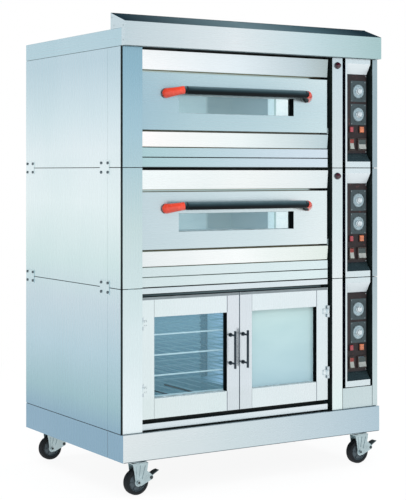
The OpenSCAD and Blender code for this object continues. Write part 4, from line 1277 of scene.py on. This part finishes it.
def make_skirt_details():
    """Hem along the skirt's foot, dark as a painted shadow line, and the painted shadow in the
    seam on its sides.
    """
    piece = Piece("skirt_shadow_hem", plain_metal("hem_shadow_steel", (96, 110, 118), (0.5, 0.65), 0.2,
                                           60.0))
    piece.sweep([at(s, -12.6, 141.4) for s in (3, 420, 830, WIDTH - 3)], ellipse(1.3, 1.3, 10))
    foot, top = (corner.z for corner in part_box("base_skirt"))
    for s in (0, WIDTH):
        piece.block(Vector((across(s), deep(111.5), (foot + top) / 2)),
                    (0.3, 1.4, (top - foot) / MM - 4))
    piece.done()


def make_hood_details(sheet_metal, metal):
    """Hem along the hood's foot, folded ridge and pop rivets at its ends."""
    hem = Piece("hood_hem", sheet_metal)
    for d, z, a, b in ((-25.4, 1723, 1.5, 3.0), (84, 1851.0, 2.2, 0.9)):
        hem.sweep([at(s, d, z) for s in (1.5, 420, 830, WIDTH - 1.5)], ellipse(a, b, 14))
    hem.done()
    rivets = Piece("hood_rivets", metal)
    for s, out in ((0.2, -1), (WIDTH - 0.2, 1)):
        for d, z in ((-14, 1740), (-14, 1795), (60, 1800), (76, 1832)):
            rivets.lathe(at(s, d, z), "X", [(3.2, 0), (3.0, 0.7 * out), (1.6, 1.3 * out),
                                            (0, 1.4 * out)], 0, 20)
    rivets.done()


def make_proofer_details(metal, post):
    """Shelf uprights on the proofer's back, stop strip over the doors and the doors' joints; the
    uprights and the strip glow with painted light, and the strip's dark tones are painted shade.
    """
    uprights = Piece("proofer_uprights", post)
    channel = [shift(s, d, 0) for s, d in ((-18, 0), (18, 0), (18, -9), (15, -9), (15, -2),
                                           (-15, -2), (-15, -9), (-18, -9))]
    for s in UPRIGHTS_S:
        uprights.prism(channel, at(s, 799.6, 300), at(s, 799.6, 756))
    uprights.done()
    stop = Piece("proofer_stop_strip", lit_liner(
        "stop_steel", [(0.0, (50, 64, 68)), (0.4, (78, 94, 97)), (1.0, (62, 76, 80))],
        *SPAN["X"], "X", 0.7))
    stop.block(at(540, 48.5, 761), (870, 0.6, 12), taper=0.999)
    stop.done()
    shadow = plain_metal("stile_joint_shadow", (104, 112, 126), (0.5, 0.65), 0.2, 60.0)
    for side, left, right in (("left", 152, 486.5), ("right", 605.5, 929.5)):
        piece = Piece(f"{side}_stile_joints", metal, shadow)
        for slot, s, width in ((0, left, 0.9), (1, right, 2.6)):
            for z0, z1 in ((292, 368.5), (682.5, 749)):
                piece.block(at(s, 14.95, (z0 + z1) / 2), (width, 0.3, z1 - z0), slot)
        piece.done(f"{side}_proofer_leaf")
    shade = plain_metal("top_edge_steel", (140, 150, 154), (0.45, 0.6), 0.4, 30.0)
    for side, s0, s1 in (("left", 95, 542.5), ("right", 548.5, 985)):
        strip = Piece(f"{side}_top_edge", shade)
        strip.block(at((s0 + s1) / 2, 14.9, 754.3), (s1 - s0, 0.4, 10.4))
        strip.done(f"{side}_proofer_leaf")


def make_chamber_details(metal, dark):
    """Lamp glass on each chamber's left wall and screws of the mouth flange."""
    glow = lens_plastic("oven_lamp_glass", (236, 238, 226), 1.2)
    for deck, z in DECK_BOTTOMS.items():
        piece = Piece(f"{deck}_chamber_fittings", metal, glow, dark)
        lamp = at(110, 300, z + 300)
        piece.lathe(lamp, "X", [(31, 0.2), (31, 3), (27, 5), (23, 5), (23, 0.2)], 0, 48)
        piece.lathe(lamp, "X", [(23, 1), (23, 5.5), (17, 8.5), (0, 10)], 1, 48)
        screws(piece, (87, 989), 56.9, (z + 196, z + 256, z + 316), 2.4, 0, 2)
        piece.done()


build_camera()
build_world()
build_stage()
dress_cabinet()
dress_controls()
dress_inside()
dress_doors()
dress_casters()
dress_small_parts()

BRIGHT = plain_metal("bright_fitting", (196, 208, 212), (0.2, 0.35), 0.9, 80.0)
DARK_MARK = plain_metal("dark_mark", (24, 30, 32), (0.4, 0.6), 0.3, 80.0)
KNOB_METAL = plain_metal("knob_turned", (230, 240, 244), (0.2, 0.32), 0.6, 60.0)
JOINT_LINE = plain_metal("joint_line", (84, 96, 104), (0.4, 0.6), 0.4)
POST_STEEL = lit_liner("post_steel", evenly((78, 110, 122), (92, 128, 142)), *PROOFER_RISE,
                       "Z", 0.5)
LOUVRE_STEEL = steel("louvre_steel", evenly((190, 204, 210), (204, 216, 220)))
HEM_STEEL = steel("hem_steel", evenly((170, 184, 182), (176, 190, 190)))
make_handle_ends()
make_knobs(KNOB_METAL, DARK_MARK)
make_dial_marks(BRIGHT, DARK_MARK)
make_lenses()
make_switches()
make_wheels()
make_casters()
make_seals()
make_fasteners(BRIGHT, DARK_MARK)
make_back(LOUVRE_STEEL, BRIGHT, DARK_MARK)
make_skirt_details()
make_hood_details(HEM_STEEL, BRIGHT)
make_proofer_details(JOINT_LINE, POST_STEEL)
make_chamber_details(BRIGHT, DARK_MARK)
